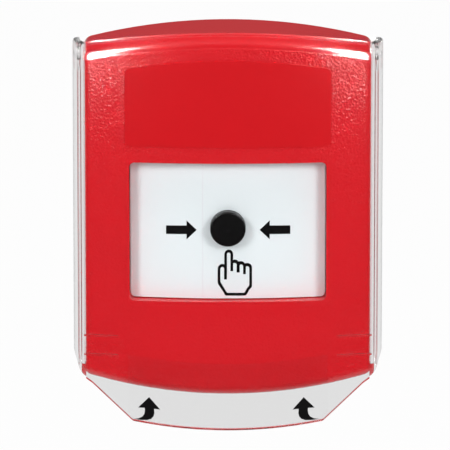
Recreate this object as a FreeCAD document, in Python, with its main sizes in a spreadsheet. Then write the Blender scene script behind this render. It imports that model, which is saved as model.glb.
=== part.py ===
"""Resettable emergency push button with a clear lift cover, for wall mounting.

Frame: X to the right, +Y into the wall, Z up. The origin lies on the wall, in the
middle of the wall screws. A depth is a distance from the wall towards the user (-Y).
Sketches in the front view hold X and Z, in the top view X and Y, in the side view
Y and Z. Every size is a number in the sheet Sizes, in millimetres or degrees.
"""
import FreeCAD, Part
import math
import os
import re

import Sketcher
from FreeCAD import Placement, Rotation, Vector

SIZES = {
    # Red front housing
    "housing_width": 97.5,
    "housing_top": 61.9,
    "housing_bottom": 61.9,
    "arch_radius": 192.0,
    "face_depth": 30.0,
    "face_radius": 230.0,
    "housing_wall": 2.6,
    "face_fillet": 3.3,
    "corner_radius": 3.6,
    "wall_gap": 0.2,
    # Window and the collar behind its edge
    "window_width": 66.0,
    "window_top": 18.5,
    "window_bottom": 29.1,
    "window_corner": 1.8,
    "collar_wall": 1.8,
    "collar_back": 19.2,
    # Smooth label panel on the face
    "label_width": 68.9,
    "label_low": 24.0,
    "label_high": 53.5,
    "label_corner": 1.8,
    "label_thickness": 0.3,
    "label_glue": 0.06,
    # Back plate
    "fit_gap": 0.3,
    "plate_floor": 2.5,
    "rim_height": 6.0,
    "rim_wall": 1.8,
    "box_screw_pitch": 83.3,
    "side_screw_pitch": 60.3,
    "wall_screw_radius": 2.2,
    "side_slot_length": 8.0,
    "wire_entry_width": 26.0,
    "wire_entry_top": 10.0,
    "wire_entry_bottom": 14.0,
    "hook_offset": 25.0,
    "hook_width": 10.0,
    "hook_depth": 3.3,
    "hook_thickness": 1.4,
    "hook_reach": 1.6,
    "lug_offset": 33.0,
    "lug_width": 8.0,
    "lug_depth": 11.0,
    "lug_height": 7.0,
    # Chassis of the mechanism
    "chassis_width": 74.0,
    "chassis_top": 22.7,
    "chassis_bottom": 33.3,
    "chassis_back": 9.0,
    "chassis_thickness": 2.0,
    "chassis_rim": 1.6,
    "chassis_rim_height": 2.5,
    "tower_width": 41.0,
    "tower_top": 55.0,
    "post_offset": 32.5,
    "post_rise": 24.0,
    "post_radius": 3.5,
    "guide_offset": 24.0,
    "guide_rise": 15.0,
    "guide_tube_wall": 1.5,
    "guide_tube_front": 14.0,
    "guide_tube_back": 6.5,
    "running_gap": 0.1,
    "centre_boss_radius": 3.0,
    "centre_boss_height": 2.6,
    # Press plate, its disc and its spring
    "press_travel": 3.0,
    "press_depth": 26.0,
    "press_radius": 160.0,
    "press_skin": 2.0,
    "press_skirt": 1.5,
    "press_gap": 0.3,
    "flange_reach": 2.3,
    "flange_thickness": 1.6,
    "guide_pin_radius": 2.0,
    "guide_pin_end": 8.6,
    "disc_radius": 5.95,
    "disc_front": 30.0,
    "disc_edge": 0.7,
    "disc_crown": 0.35,
    "disc_seat": 25.3,
    "disc_peg_radius": 2.5,
    "disc_peg_length": 3.0,
    "disc_gap": 0.05,
    "disc_lift": 1.1,
    "spring_radius": 4.6,
    "spring_wire": 0.45,
    "spring_turns": 6.0,
    "spring_end_gap": 0.15,
    "spring_cup_wall": 1.5,
    "spring_cup_depth": 3.0,
    # Microswitch
    "switch_length": 12.8,
    "switch_width": 5.8,
    "switch_height": 6.5,
    "switch_drop": 16.7,
    "lever_pivot": 5.4,
    "lever_rise": 0.5,
    "lever_length": 14.0,
    "lever_tip_rise": 2.8,
    "lever_thickness": 0.4,
    "lever_width": 4.0,
    "lever_knuckle": 0.45,
    "plunger_offset": 2.0,
    "plunger_radius": 0.9,
    "plunger_rise": 0.85,
    "plunger_hole_depth": 2.4,
    "striker_offset": 7.0,
    "striker_width": 2.4,
    "striker_end": 21.3,
    "terminal_pitch": 5.0,
    "terminal_width": 2.0,
    "terminal_thickness": 0.6,
    "terminal_end": 5.9,
    "clip_thickness": 1.2,
    "clip_height": 4.0,
    # Circuit board and what it carries
    "board_width": 38.0,
    "board_top": 54.0,
    "board_bottom": 27.0,
    "board_back": 6.4,
    "board_thickness": 1.6,
    "board_post_offset": 15.5,
    "board_post_high": 34.0,
    "board_post_low": 5.3,
    "board_post_radius": 2.6,
    "block_width": 28.0,
    "block_low": 40.0,
    "block_high": 51.0,
    "block_front": 18.0,
    "block_ways": 4,
    "way_pitch": 6.6,
    "clamp_screw_radius": 1.7,
    "clamp_screw_length": 4.0,
    "wire_mouth": 3.4,
    "resistor_radius": 1.2,
    "resistor_length": 6.5,
    "resistor_height": 29.0,
    "resistor_pitch": 9.0,
    "resistor_lead": 0.35,
    # Status flag
    "flag_drop": 6.0,
    "flag_width": 40.0,
    "flag_low": 20.7,
    "flag_high": 31.2,
    "flag_front": 26.0,
    "flag_thickness": 1.0,
    "flag_stem_width": 8.0,
    "flag_slider_thickness": 2.0,
    "flag_slider_low": 23.5,
    "flag_rail_wall": 1.5,
    "flag_rail_top": 36.0,
    # Reset lock and latch
    "reset_offset": 16.0,
    "reset_depth": 13.0,
    "lock_width": 20.0,
    "lock_screw_margin": 2.8,
    "lock_seat": 6.0,
    "lock_back": 4.0,
    "lock_front": 21.5,
    "lock_top": 40.8,
    "barrel_radius": 4.0,
    "barrel_recess": 0.5,
    "barrel_flange_radius": 5.2,
    "barrel_flange_height": 1.2,
    "key_slot_width": 1.6,
    "key_slot_length": 6.0,
    "key_slot_depth": 4.0,
    "drive_pin_throw": 3.0,
    "drive_pin_radius": 0.9,
    "latch_thickness": 1.4,
    "latch_half_length": 9.0,
    "latch_back": 11.2,
    "latch_front": 19.2,
    "latch_nose_width": 6.0,
    "latch_nose_back": 16.2,
    "latch_nose_thickness": 1.0,
    "latch_clearance": 0.3,
    "latch_slot_gap": 0.3,
    # Clear lift cover and its hinge
    "cover_gap": 1.7,
    "cover_side_gap": 1.9,
    "cover_draft": 5.2,
    "cover_wall": 1.8,
    "cover_crown": 1.8,
    "cover_top_radius": 280.0,
    "cover_top_corner": 3.0,
    "cover_front_corner": 3.0,
    "cover_side_bottom": 56.8,
    "cover_bottom_corner": 5.5,
    "cover_back_corner": 6.0,
    "pin_drop": 9.7,
    "pin_depth": 10.0,
    "pin_radius": 1.5,
    "pin_inside": 6.0,
    "pin_bore_gap": 0.06,
    "pin_boss_radius": 3.1,
    "ear_radius": 5.4,
    "ear_shoulder_depth": 24.0,
    "ear_shoulder_rise": 6.4,
    "ear_boss_gap": 0.2,
    "ear_round_width": 1.7,
    "ear_round_height": 3.1,
    "ear_round_radius": 2.8,
    "bend_height": 58.8,
    "bend_arch_radius": 200.0,
    "lip_angle": 25.0,
    "lip_bottom": 71.4,
    "lip_tip_radius": 188.0,
    "lip_tip_half": 32.0,
    "bend_round": 8.0,
    "lip_shoulder_half": 47.8,
    "lip_shoulder_height": 55.8,
    "lip_root_half": 45.6,
    "lip_root_height": 57.2,
    "lip_corner": 2.0,
    "lip_overrun": 8.0,
    "rest_rib_thickness": 0.5,
    "rest_rib_reach": 1.0,
    "rest_rib_inner": 36.8,
    "rest_rib_outer": 48.3,
    "rest_rib_height": 48.3,
    "rest_rib_pitch": 6.6,
    # Screws
    "screw_radius": 1.25,
    "screw_head_radius": 2.5,
    "screw_head_height": 1.6,
    "small_screw_radius": 1.0,
    "small_head_radius": 1.9,
    "small_head_height": 1.2,
    "screw_bite": 5.5,
    "screw_slot_width": 0.7,
    "screw_slot_depth": 0.7,
}

doc = FreeCAD.newDocument("emergency_push_button")
sheet = doc.addObject("Spreadsheet::Sheet", "Sizes")
for row, (alias, size) in enumerate(SIZES.items(), start=1):
    sheet.set(f"A{row}", alias)
    sheet.set(f"B{row}", str(size))
    sheet.setAlias(f"B{row}", alias)
doc.recompute()

# Formulas that several pieces share
HALF = "housing_width / 2"
WINDOW_MID = "(window_top - window_bottom) / 2"
CHASSIS_FRONT = "(chassis_back + chassis_thickness)"
COVER_DEPTH = "(face_depth + cover_gap + cover_wall)"
COVER_RADIUS = "(face_radius + cover_gap + cover_wall)"
COVER_HALF = "(housing_width / 2 + cover_side_gap + cover_wall)"
COVER_BACK = "(pin_depth - ear_radius)"
PIN_HEIGHT = "(housing_top - pin_drop)"
LIP_START = "(-bend_height + lip_overrun)"
EAR_HALF = f"({COVER_HALF} - tan(cover_draft) * (pin_depth - {COVER_BACK}))"
SWITCH_MID = "((window_top - window_bottom) / 2 - switch_drop)"
SWITCH_FRONT = "(chassis_back + chassis_thickness + switch_height)"

VIEWS = {"front": "XZ_Plane", "top": "XY_Plane", "side": "YZ_Plane"}
nodes = []


def bound(formula):
    """Turns the size names of a formula into references to the sheet."""
    return re.sub(
        r"[a-z][a-z_]*",
        lambda word: f"Sizes.{word.group()}" if word.group() in SIZES else word.group(),
        str(formula),
    )


def number(formula):
    """Value of a formula for the sizes in the sheet."""
    return float(sheet.evalExpression(bound(formula)))


def keep(piece, label):
    """Marks a finished piece as a sub-part that gets a file of its own."""
    piece.Label = label
    nodes.append(piece)
    return piece


def new_body(name):
    """Empty body for one moulded or turned piece."""
    return doc.addObject("PartDesign::Body", name)


def sketch(body, view, offset="0"):
    """Empty sketch on one of the body's own planes, moved along the plane's normal."""
    plane = next(f for f in body.Origin.OriginFeatures if f.Role == VIEWS[view])
    drawing = body.newObject("Sketcher::SketchObject", "Sketch")
    drawing.AttachmentSupport = (plane, [""])
    drawing.MapMode = "FlatFace"
    drawing.setExpression("AttachmentOffset.Base.z", bound(offset))
    return drawing


def pin_point(drawing, edge, end, across, up):
    """Ties one point of a sketch to its two coordinates."""
    for kind, axis, formula in (("DistanceX", -2, across), ("DistanceY", -1, up)):
        if str(formula) == "0":
            drawing.addConstraint(Sketcher.Constraint("PointOnObject", edge, end, axis))
            continue
        index = drawing.addConstraint(
            Sketcher.Constraint(kind, edge, end, number(formula))
        )
        drawing.setExpression(f"Constraints[{index}]", bound(formula))


def outline(drawing, points):
    """Closed outline, counter-clockwise. A third item is the radius of the arc that
    leads to the next point, negative where the arc bows inwards, or "half round" for
    the end of an upright slot."""
    corners = [Vector(number(p[0]), number(p[1]), 0) for p in points]
    edges = []
    for i, point in enumerate(points):
        start, end = corners[i], corners[(i + 1) % len(points)]
        if len(point) == 2:
            edges.append((drawing.addGeometry(Part.LineSegment(start, end)), 1, 2))
            continue
        chord = end - start
        half_round = point[2] == "half round"
        radius = chord.Length / 2 if half_round else number(point[2])
        outwards = Vector(chord.y, -chord.x, 0).normalize()
        rise = abs(radius) - math.sqrt(max(radius**2 - (chord.Length / 2) ** 2, 0))
        middle = (start + end) / 2 + outwards * math.copysign(rise, radius)
        edge = drawing.addGeometry(Part.Arc(start, middle, end))
        swapped = (drawing.getPoint(edge, 1) - start).Length > 1e-6
        edges.append((edge, 2, 1) if swapped else (edge, 1, 2))
        if half_round:
            drawing.addConstraint(Sketcher.Constraint("Vertical", edge, 3, edge, 1))
            continue
        index = drawing.addConstraint(Sketcher.Constraint("Radius", edge, abs(radius)))
        size = point[2] if radius > 0 else f"-({point[2]})"
        drawing.setExpression(f"Constraints[{index}]", bound(size))
    for i, (edge, first, last) in enumerate(edges):
        following, its_first, _ = edges[(i + 1) % len(edges)]
        drawing.addConstraint(
            Sketcher.Constraint("Coincident", edge, last, following, its_first)
        )
        pin_point(drawing, edge, first, points[i][0], points[i][1])
    return drawing


def box_outline(drawing, left, right, low, high):
    """Rectangle between two columns and two rows."""
    return outline(drawing, [(left, low), (right, low), (right, high), (left, high)])


def circle(drawing, across, up, radius):
    """Circle with its centre and radius tied to formulas."""
    centre = Vector(number(across), number(up), 0)
    edge = drawing.addGeometry(Part.Circle(centre, Vector(0, 0, 1), number(radius)))
    index = drawing.addConstraint(Sketcher.Constraint("Radius", edge, number(radius)))
    drawing.setExpression(f"Constraints[{index}]", bound(radius))
    pin_point(drawing, edge, 3, across, up)
    return drawing


def pad(body, drawing, length, both_ways=False, reverse=False):
    """Adds the sketch's outline, drawn out along its normal."""
    feature = body.newObject("PartDesign::Pad", "Pad")
    feature.Profile = drawing
    feature.setExpression("Length", bound(length))
    feature.SideType = "Symmetric" if both_ways else "One side"
    feature.Reversed = reverse
    drawing.Visibility = False
    doc.recompute()
    return feature


def cut(body, drawing, length, both_ways=False, along_normal=False):
    """Cuts the sketch's outline out, against its normal unless told otherwise."""
    before = body.Shape.Volume
    feature = body.newObject("PartDesign::Pocket", "Pocket")
    feature.Profile = drawing
    feature.setExpression("Length", bound(length))
    feature.SideType = "Symmetric" if both_ways else "One side"
    feature.Reversed = along_normal
    doc.recompute()
    if body.Shape.Volume >= before:
        raise RuntimeError(f"{body.Name}: {feature.Name} cuts nothing")
    return feature


def spin(body, drawing):
    """Adds the sketch's outline, turned about the sketch's vertical axis."""
    feature = body.newObject("PartDesign::Revolution", "Revolution")
    feature.Profile = drawing
    feature.ReferenceAxis = (drawing, ["V_Axis"])
    feature.Angle = 360
    doc.recompute()
    return feature


def fillet(body, radius, picks):
    """Rounds the edges of the body's last feature that a test picks."""
    base = body.Tip
    names = [f"Edge{i}" for i, e in enumerate(base.Shape.Edges, start=1) if picks(e)]
    feature = body.newObject("PartDesign::Fillet", "Fillet")
    feature.Base = (base, names)
    feature.setExpression("Radius", bound(radius))
    doc.recompute()
    return feature


def runs_along(edge, axis):
    """True for a straight edge along one of the axes 0, 1 or 2."""
    if edge.Curve.TypeId != "Part::GeomLine":
        return False
    return abs(abs(edge.Curve.Direction[axis]) - 1) < 1e-6


def join(label, pieces):
    """One solid from several that touch."""
    fused = doc.addObject("Part::MultiFuse", label)
    fused.Shapes = pieces
    fused.Refine = True
    return fused


def take_away(label, base, tool):
    """One solid less another."""
    difference = doc.addObject("Part::Cut", label)
    difference.Base = base
    difference.Tool = tool
    return difference


def overlap(label, pieces):
    """What several solids share."""
    common = doc.addObject("Part::MultiCommon", label)
    common.Shapes = pieces
    return common


def group(label, pieces):
    """Separate like solids in one sub-part."""
    bundle = doc.addObject("Part::Compound", label)
    bundle.Links = pieces
    return bundle


def place(piece, across, depth, up, turn=None):
    """Sets a piece's Placement, with its three coordinates tied to formulas."""
    piece.Placement = Placement(Vector(0, 0, 0), turn or Rotation())
    for axis, formula in (("x", across), ("y", f"-({depth})"), ("z", up)):
        piece.setExpression(f"Placement.Base.{axis}", bound(formula))
    return piece


def bow_cut(body, depth, radius, half, reach, front=True):
    """Cuts all that stands in front of (or behind) a face bowed about a vertical axis."""
    edge = f"-({depth}) + ({radius}) - sqrt(({radius})^2 - ({half})^2)"
    drawing = sketch(body, "top")
    if front:
        limit = f"-({depth}) - 20"
        points = [
            (f"-({half})", limit),
            (half, limit),
            (half, edge, f"-({radius})"),
            (f"-({half})", edge),
        ]
    else:
        points = [
            (f"-({half})", edge, radius),
            (half, edge),
            (half, "20"),
            (f"-({half})", "20"),
        ]
    outline(drawing, points)
    return cut(body, drawing, reach, both_ways=True)


def arched_outline(drawing, half, crown, foot, radius):
    """Upright outline with straight sides and an arched top and bottom."""
    sag = f"(({radius}) - sqrt(({radius})^2 - ({half})^2))"
    return outline(
        drawing,
        [
            (f"-({half})", f"-({foot}) + {sag}", radius),
            (half, f"-({foot}) + {sag}"),
            (half, f"({crown}) - {sag}", radius),
            (f"-({half})", f"({crown}) - {sag}"),
        ],
    )


def housing_block(name, inset, back):
    """Solid of the housing's own form, inset all round by a wall."""
    block = new_body(name)
    drawing = sketch(block, "front", back)
    arched_outline(
        drawing,
        f"({HALF} - {inset})",
        f"housing_top - {inset}",
        f"housing_bottom - {inset}",
        f"(arch_radius - {inset})",
    )
    pad(block, drawing, f"face_depth - {inset} - ({back})")
    corner = "corner_radius" if inset == "0" else "(corner_radius / 3)"
    fillet(block, corner, lambda e: runs_along(e, 1))
    bow_cut(
        block,
        f"face_depth - {inset}",
        f"(face_radius - {inset})",
        f"({HALF} + 6)",
        "housing_top + housing_bottom + 40",
    )
    if inset == "0":
        fillet(block, "face_fillet", on_face)
    return block


def on_face(edge):
    """True for an edge that lies in the housing's bowed front."""
    radius = number("face_radius")
    axis = radius - number("face_depth")
    spots = [edge.valueAt(p) for p in (edge.FirstParameter, edge.LastParameter)]
    return all(abs(math.hypot(p.x, p.y - axis) - radius) < 1e-3 for p in spots)


def front_housing():
    """Red shell: bowed face, window collar, hinge bosses, hooks, screw and key holes."""
    outer = housing_block("housing_outer", "0", "wall_gap")
    cavity = housing_block("housing_cavity", "housing_wall", "wall_gap - 1")
    shell = take_away("housing_shell", outer, cavity)

    inner = new_body("housing_inner_forms")
    drawing = sketch(inner, "front", "collar_back")
    reach = "collar_wall"
    box_outline(
        drawing,
        f"-(window_width / 2 + {reach})",
        f"window_width / 2 + {reach}",
        f"-(window_bottom + {reach})",
        f"window_top + {reach}",
    )
    pad(inner, drawing, "face_depth - collar_back")
    fillet(inner, "window_corner + collar_wall", lambda e: runs_along(e, 1))
    limbs = [inner]
    for side in (-1, 1):
        boss = new_body("hinge_boss")
        drawing = sketch(boss, "side", f"{side} * ({HALF} - 1)")
        circle(drawing, "-pin_depth", PIN_HEIGHT, "pin_boss_radius")
        pad(boss, drawing, "pin_inside", reverse=side > 0)
        limbs.append(boss)
        hook = new_body("hook")
        drawing = sketch(hook, "front", "hook_depth")
        roof = "housing_top - housing_wall - (arch_radius - housing_wall)"
        roof += " + sqrt((arch_radius - housing_wall)^2 - (hook_offset + hook_width / 2)^2)"
        box_outline(
            drawing,
            f"{side} * hook_offset - hook_width / 2",
            f"{side} * hook_offset + hook_width / 2",
            f"{roof} - hook_reach",
            f"{roof} + housing_wall - 0.6",
        )
        pad(hook, drawing, "hook_thickness")
        limbs.append(hook)
    forms = overlap("housing_forms", [join("housing_limbs", limbs), outer])
    whole = join("housing_whole", [shell, forms])

    holes = [window_hole(), flag_slot(), key_hole()]
    for side in (-1, 1):
        bore = new_body("hinge_bore")
        drawing = sketch(bore, "side", f"{side} * ({HALF} + 1)")
        circle(drawing, "-pin_depth", PIN_HEIGHT, "pin_radius")
        pad(bore, drawing, "pin_inside", reverse=side > 0)
        holes.append(bore)
        holes.append(housing_screw_hole(side))
    keep(take_away("front_housing", whole, join("housing_holes", holes)), "front_housing")


def window_hole():
    """Window through the face and its collar."""
    hole = new_body("window_hole")
    drawing = sketch(hole, "front", "collar_back - 1")
    half = "window_width / 2"
    box_outline(drawing, f"-{half}", half, "-window_bottom", "window_top")
    pad(hole, drawing, "face_depth - collar_back + 3")
    fillet(hole, "window_corner", lambda e: runs_along(e, 1))
    return hole


def flag_slot():
    """Slot in the top of the collar that the flag drops through."""
    slot = new_body("flag_slot")
    drawing = sketch(slot, "front", "flag_front - flag_thickness - 0.4")
    half = "(flag_width / 2 + 0.5)"
    box_outline(drawing, f"-{half}", half, "window_top - 1", "window_top + collar_wall + 1")
    pad(slot, drawing, "flag_thickness + 0.8")
    return slot


def key_hole():
    """Round hole for the reset key, in the underside."""
    hole = new_body("key_hole")
    drawing = sketch(hole, "top", "-(housing_bottom + 2)")
    circle(drawing, "reset_offset", "-reset_depth", "barrel_radius + 0.6")
    pad(hole, drawing, "housing_wall + 4")
    return hole


LUG_FOOT = (
    "(-(housing_bottom - housing_wall) + (arch_radius - housing_wall)"
    " - sqrt((arch_radius - housing_wall)^2 - (lug_offset + lug_width / 2)^2) + fit_gap)"
)
SCREW_SEAT = (
    "(-(housing_bottom - housing_wall) + (arch_radius - housing_wall)"
    " - sqrt((arch_radius - housing_wall)^2 - lug_offset^2) - housing_wall * 0.4)"
)
LUG_SCREW_DEPTH = "(lug_depth + plate_floor) / 2"


def housing_screw_hole(side):
    """Stepped hole for the screw that holds the housing to the back plate."""
    hole = new_body("housing_screw_hole")
    drawing = sketch(hole, "top", "-(housing_bottom + 2)")
    across, along = f"{side} * lug_offset", f"-{LUG_SCREW_DEPTH}"
    circle(drawing, across, along, "screw_head_radius + 0.2")
    pad(hole, drawing, f"{SCREW_SEAT} + housing_bottom + 2")
    drawing = sketch(hole, "top", SCREW_SEAT)
    circle(drawing, across, along, "screw_radius + 0.2")
    pad(hole, drawing, "housing_wall + 1")
    return hole


def label_panel():
    """Thin smooth panel that follows the face above the window."""
    panel = new_body("label_panel")
    half = "label_width / 2"
    drawing = sketch(panel, "front", "face_depth - 8")
    shoulder = f"label_high - arch_radius + sqrt(arch_radius^2 - ({half})^2)"
    outline(
        drawing,
        [
            (f"-{half}", "label_low"),
            (half, "label_low"),
            (half, shoulder, "arch_radius"),
            (f"-{half}", shoulder),
        ],
    )
    pad(panel, drawing, "12")
    fillet(panel, "label_corner", lambda e: runs_along(e, 1))
    reach = "2 * label_high + 20"
    front = "face_depth + label_thickness"
    bow_cut(panel, front, "(face_radius + label_thickness)", "(label_width / 2 + 4)", reach)
    back, radius = "(face_depth + label_glue)", "(face_radius + label_glue)"
    bow_cut(panel, back, radius, "(label_width / 2 + 4)", reach, front=False)
    keep(panel, "label_panel")


def back_plate():
    """Tray that screws to the wall box and carries the chassis, the lock and the housing."""
    inset = "(housing_wall + fit_gap)"
    tray = new_body("back_plate")
    for wall, start, depth in (("0", "0", "rim_height"), ("rim_wall", "plate_floor", "0")):
        drawing = sketch(tray, "front", start if depth != "0" else "rim_height")
        arched_outline(
            drawing,
            f"({HALF} - {inset} - {wall})",
            f"housing_top - {inset} - {wall}",
            f"housing_bottom - {inset} - {wall}",
            f"(arch_radius - {inset} - {wall})",
        )
        if depth != "0":
            pad(tray, drawing, depth)
            fillet(tray, "corner_radius / 3", lambda e: runs_along(e, 1))
        else:
            cut(tray, drawing, "rim_height - plate_floor")
    drawing = sketch(tray, "front", "plate_floor - 1")
    for side in (-1, 1):
        for rise in (-1, 1):
            centre = f"{WINDOW_MID} + {rise} * post_rise"
            circle(drawing, f"{side} * post_offset", centre, "post_radius")
    pad(tray, drawing, "chassis_back - plate_floor + 1")
    drawing = sketch(tray, "front", "plate_floor - 1")
    for side in (-1, 1):
        box_outline(
            drawing,
            f"{side} * lug_offset - lug_width / 2",
            f"{side} * lug_offset + lug_width / 2",
            LUG_FOOT,
            f"{LUG_FOOT} + lug_height",
        )
    pad(tray, drawing, "lug_depth - plate_floor + 1")
    drawing = sketch(tray, "front", "plate_floor - 1")
    for side in (-1, 1):
        circle(drawing, LOCK_SCREW_ACROSS[side], LOCK_SCREW_UP, "small_screw_radius + 1.5")
    pad(tray, drawing, "lock_back - plate_floor + 1")

    drawing = sketch(tray, "front", "chassis_back + 1")
    for side in (-1, 1):
        for rise in (-1, 1):
            centre = f"{WINDOW_MID} + {rise} * post_rise"
            circle(drawing, f"{side} * post_offset", centre, "screw_radius")
    cut(tray, drawing, "screw_bite + 1")
    drawing = sketch(tray, "front", "lock_back + 1")
    for side in (-1, 1):
        circle(drawing, LOCK_SCREW_ACROSS[side], LOCK_SCREW_UP, "small_screw_radius")
    cut(tray, drawing, "lock_back")
    drawing = sketch(tray, "top", f"{LUG_FOOT} - 2")
    for side in (-1, 1):
        circle(drawing, f"{side} * lug_offset", f"-{LUG_SCREW_DEPTH}", "screw_radius")
    cut(tray, drawing, "screw_bite + 2", along_normal=True)
    wall_holes(tray)
    hook_windows(tray)
    keep(tray, "back_plate")


def wall_holes(tray):
    """Round holes on the vertical pitch, slots on the side pitch and the wire entry."""
    drawing = sketch(tray, "front", "plate_floor + 1")
    for rise in (-1, 1):
        circle(drawing, "0", f"{rise} * box_screw_pitch / 2", "wall_screw_radius")
    half = "(side_slot_length / 2 - wall_screw_radius)"
    for side in (-1, 1):
        middle = f"{side} * side_screw_pitch / 2"
        outline(
            drawing,
            [
                (f"{middle} - {half}", "-wall_screw_radius"),
                (f"{middle} + {half}", "-wall_screw_radius", "half round"),
                (f"{middle} + {half}", "wall_screw_radius"),
                (f"{middle} - {half}", "wall_screw_radius", "half round"),
            ],
        )
    half = "wire_entry_width / 2"
    box_outline(drawing, f"-{half}", half, "-wire_entry_bottom", "wire_entry_top")
    cut(tray, drawing, "plate_floor + 2")


def hook_windows(tray):
    """Openings in the rim that the housing's hooks snap into."""
    drawing = sketch(tray, "front", "hook_depth - fit_gap")
    for side in (-1, 1):
        box_outline(
            drawing,
            f"{side} * hook_offset - hook_width / 2 - fit_gap",
            f"{side} * hook_offset + hook_width / 2 + fit_gap",
            "housing_top - housing_wall - fit_gap - 6",
            "housing_top",
        )
    cut(tray, drawing, "hook_thickness + 2 * fit_gap", along_normal=True)


FACES_USER = Rotation(Vector(1, 0, 0), 90)
FACES_WALL = Rotation(Vector(1, 0, 0), -90)
FACES_DOWN = Rotation(Vector(1, 0, 0), 180)
LOCK_SCREW_ACROSS = {
    -1: "reset_offset - lock_width / 2 + lock_screw_margin",
    1: "reset_offset + lock_width / 2 - lock_screw_margin",
}
LOCK_FOOT = (
    "(-(housing_bottom - housing_wall) + (arch_radius - housing_wall)"
    " - sqrt((arch_radius - housing_wall)^2 - (reset_offset + lock_width / 2)^2) + fit_gap)"
)
RIM_INSIDE = f"({LOCK_FOOT} + rim_wall + 2 * fit_gap)"
LOCK_SCREW_UP = "((-(housing_bottom - housing_wall) - lock_top) / 2)"


def mechanism_chassis():
    """Carrier behind the window: guide tubes, spring boss, switch clips, flag rails."""
    frame = new_body("mechanism_chassis")
    drawing = sketch(frame, "front", "chassis_back")
    half, neck = "chassis_width / 2", "tower_width / 2"
    outline(
        drawing,
        [
            (f"-{half}", "-chassis_bottom"),
            (half, "-chassis_bottom"),
            (half, "chassis_top"),
            (neck, "chassis_top"),
            (neck, "tower_top"),
            (f"-{neck}", "tower_top"),
            (f"-{neck}", "chassis_top"),
            (f"-{half}", "chassis_top"),
        ],
    )
    pad(frame, drawing, "chassis_thickness")
    fillet(frame, "2", lambda e: runs_along(e, 1))

    drawing = sketch(frame, "front", CHASSIS_FRONT)
    for side in (-1, 1):
        edges = sorted((f"{side} * {half}", f"{side} * ({half} - chassis_rim)"), key=number)
        box_outline(drawing, *edges, "-chassis_bottom + 3", "chassis_top - 3")
    pad(frame, drawing, "chassis_rim_height")

    drawing = sketch(frame, "front", "guide_tube_back")
    for side in (-1, 1):
        for rise in (-1, 1):
            spot = (f"{side} * guide_offset", f"{WINDOW_MID} + {rise} * guide_rise")
            circle(drawing, *spot, "guide_pin_radius + running_gap + guide_tube_wall")
    pad(frame, drawing, "guide_tube_front - guide_tube_back")
    drawing = sketch(frame, "front", CHASSIS_FRONT)
    circle(drawing, "0", WINDOW_MID, "centre_boss_radius")
    pad(frame, drawing, "centre_boss_height")

    drawing = sketch(frame, "front", CHASSIS_FRONT)
    for rise in (-1, 1):
        near = f"{SWITCH_MID} + {rise} * (switch_width / 2 + running_gap)"
        rows = sorted((near, f"{near} + {rise} * clip_thickness"), key=number)
        box_outline(drawing, "-switch_length / 4", "switch_length / 4", *rows)
    pad(frame, drawing, "clip_height")

    drawing = sketch(frame, "front", CHASSIS_FRONT)
    for side in (-1, 1):
        near = f"{side} * (flag_stem_width / 2 + 2 * running_gap)"
        columns = sorted((near, f"{near} + {side} * flag_rail_wall"), key=number)
        box_outline(drawing, *columns, "flag_slider_low - flag_drop / 2", "flag_rail_top")
    pad(frame, drawing, "flag_slider_thickness + 2 * running_gap")

    drawing = sketch(frame, "front", "board_back + board_thickness")
    board_posts(drawing, "board_post_radius")
    pad(frame, drawing, "chassis_back - board_back - board_thickness + 1")
    drawing = sketch(frame, "front", CHASSIS_FRONT)
    board_posts(drawing, "board_post_radius")
    pad(frame, drawing, "1.5")

    drawing = sketch(frame, "front", "guide_tube_front + 1")
    for side in (-1, 1):
        for rise in (-1, 1):
            spot = (f"{side} * guide_offset", f"{WINDOW_MID} + {rise} * guide_rise")
            circle(drawing, *spot, "guide_pin_radius + running_gap")
            spot = (f"{side} * post_offset", f"{WINDOW_MID} + {rise} * post_rise")
            circle(drawing, *spot, "screw_radius + 0.2")
    terminal_reach = "(terminal_pitch + terminal_width / 2 + 0.6)"
    width = "(terminal_thickness / 2 + 0.5)"
    box_outline(
        drawing,
        f"-{terminal_reach}",
        terminal_reach,
        f"{SWITCH_MID} - {width}",
        f"{SWITCH_MID} + {width}",
    )
    half = "(block_width / 2 + fit_gap)"
    box_outline(drawing, f"-{half}", half, "block_low - fit_gap", "block_high + fit_gap")
    cut(frame, drawing, "guide_tube_front - guide_tube_back + 3")
    drawing = sketch(frame, "front", "board_back")
    board_posts(drawing, "small_screw_radius")
    cut(frame, drawing, "screw_bite", along_normal=True)
    keep(frame, "mechanism_chassis")


def board_posts(drawing, radius):
    """Two high and two low posts that the circuit board is screwed to."""
    for side in (-1, 1):
        for up in ("board_post_high", "-board_post_low"):
            circle(drawing, f"{side} * board_post_offset", up, radius)


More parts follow.
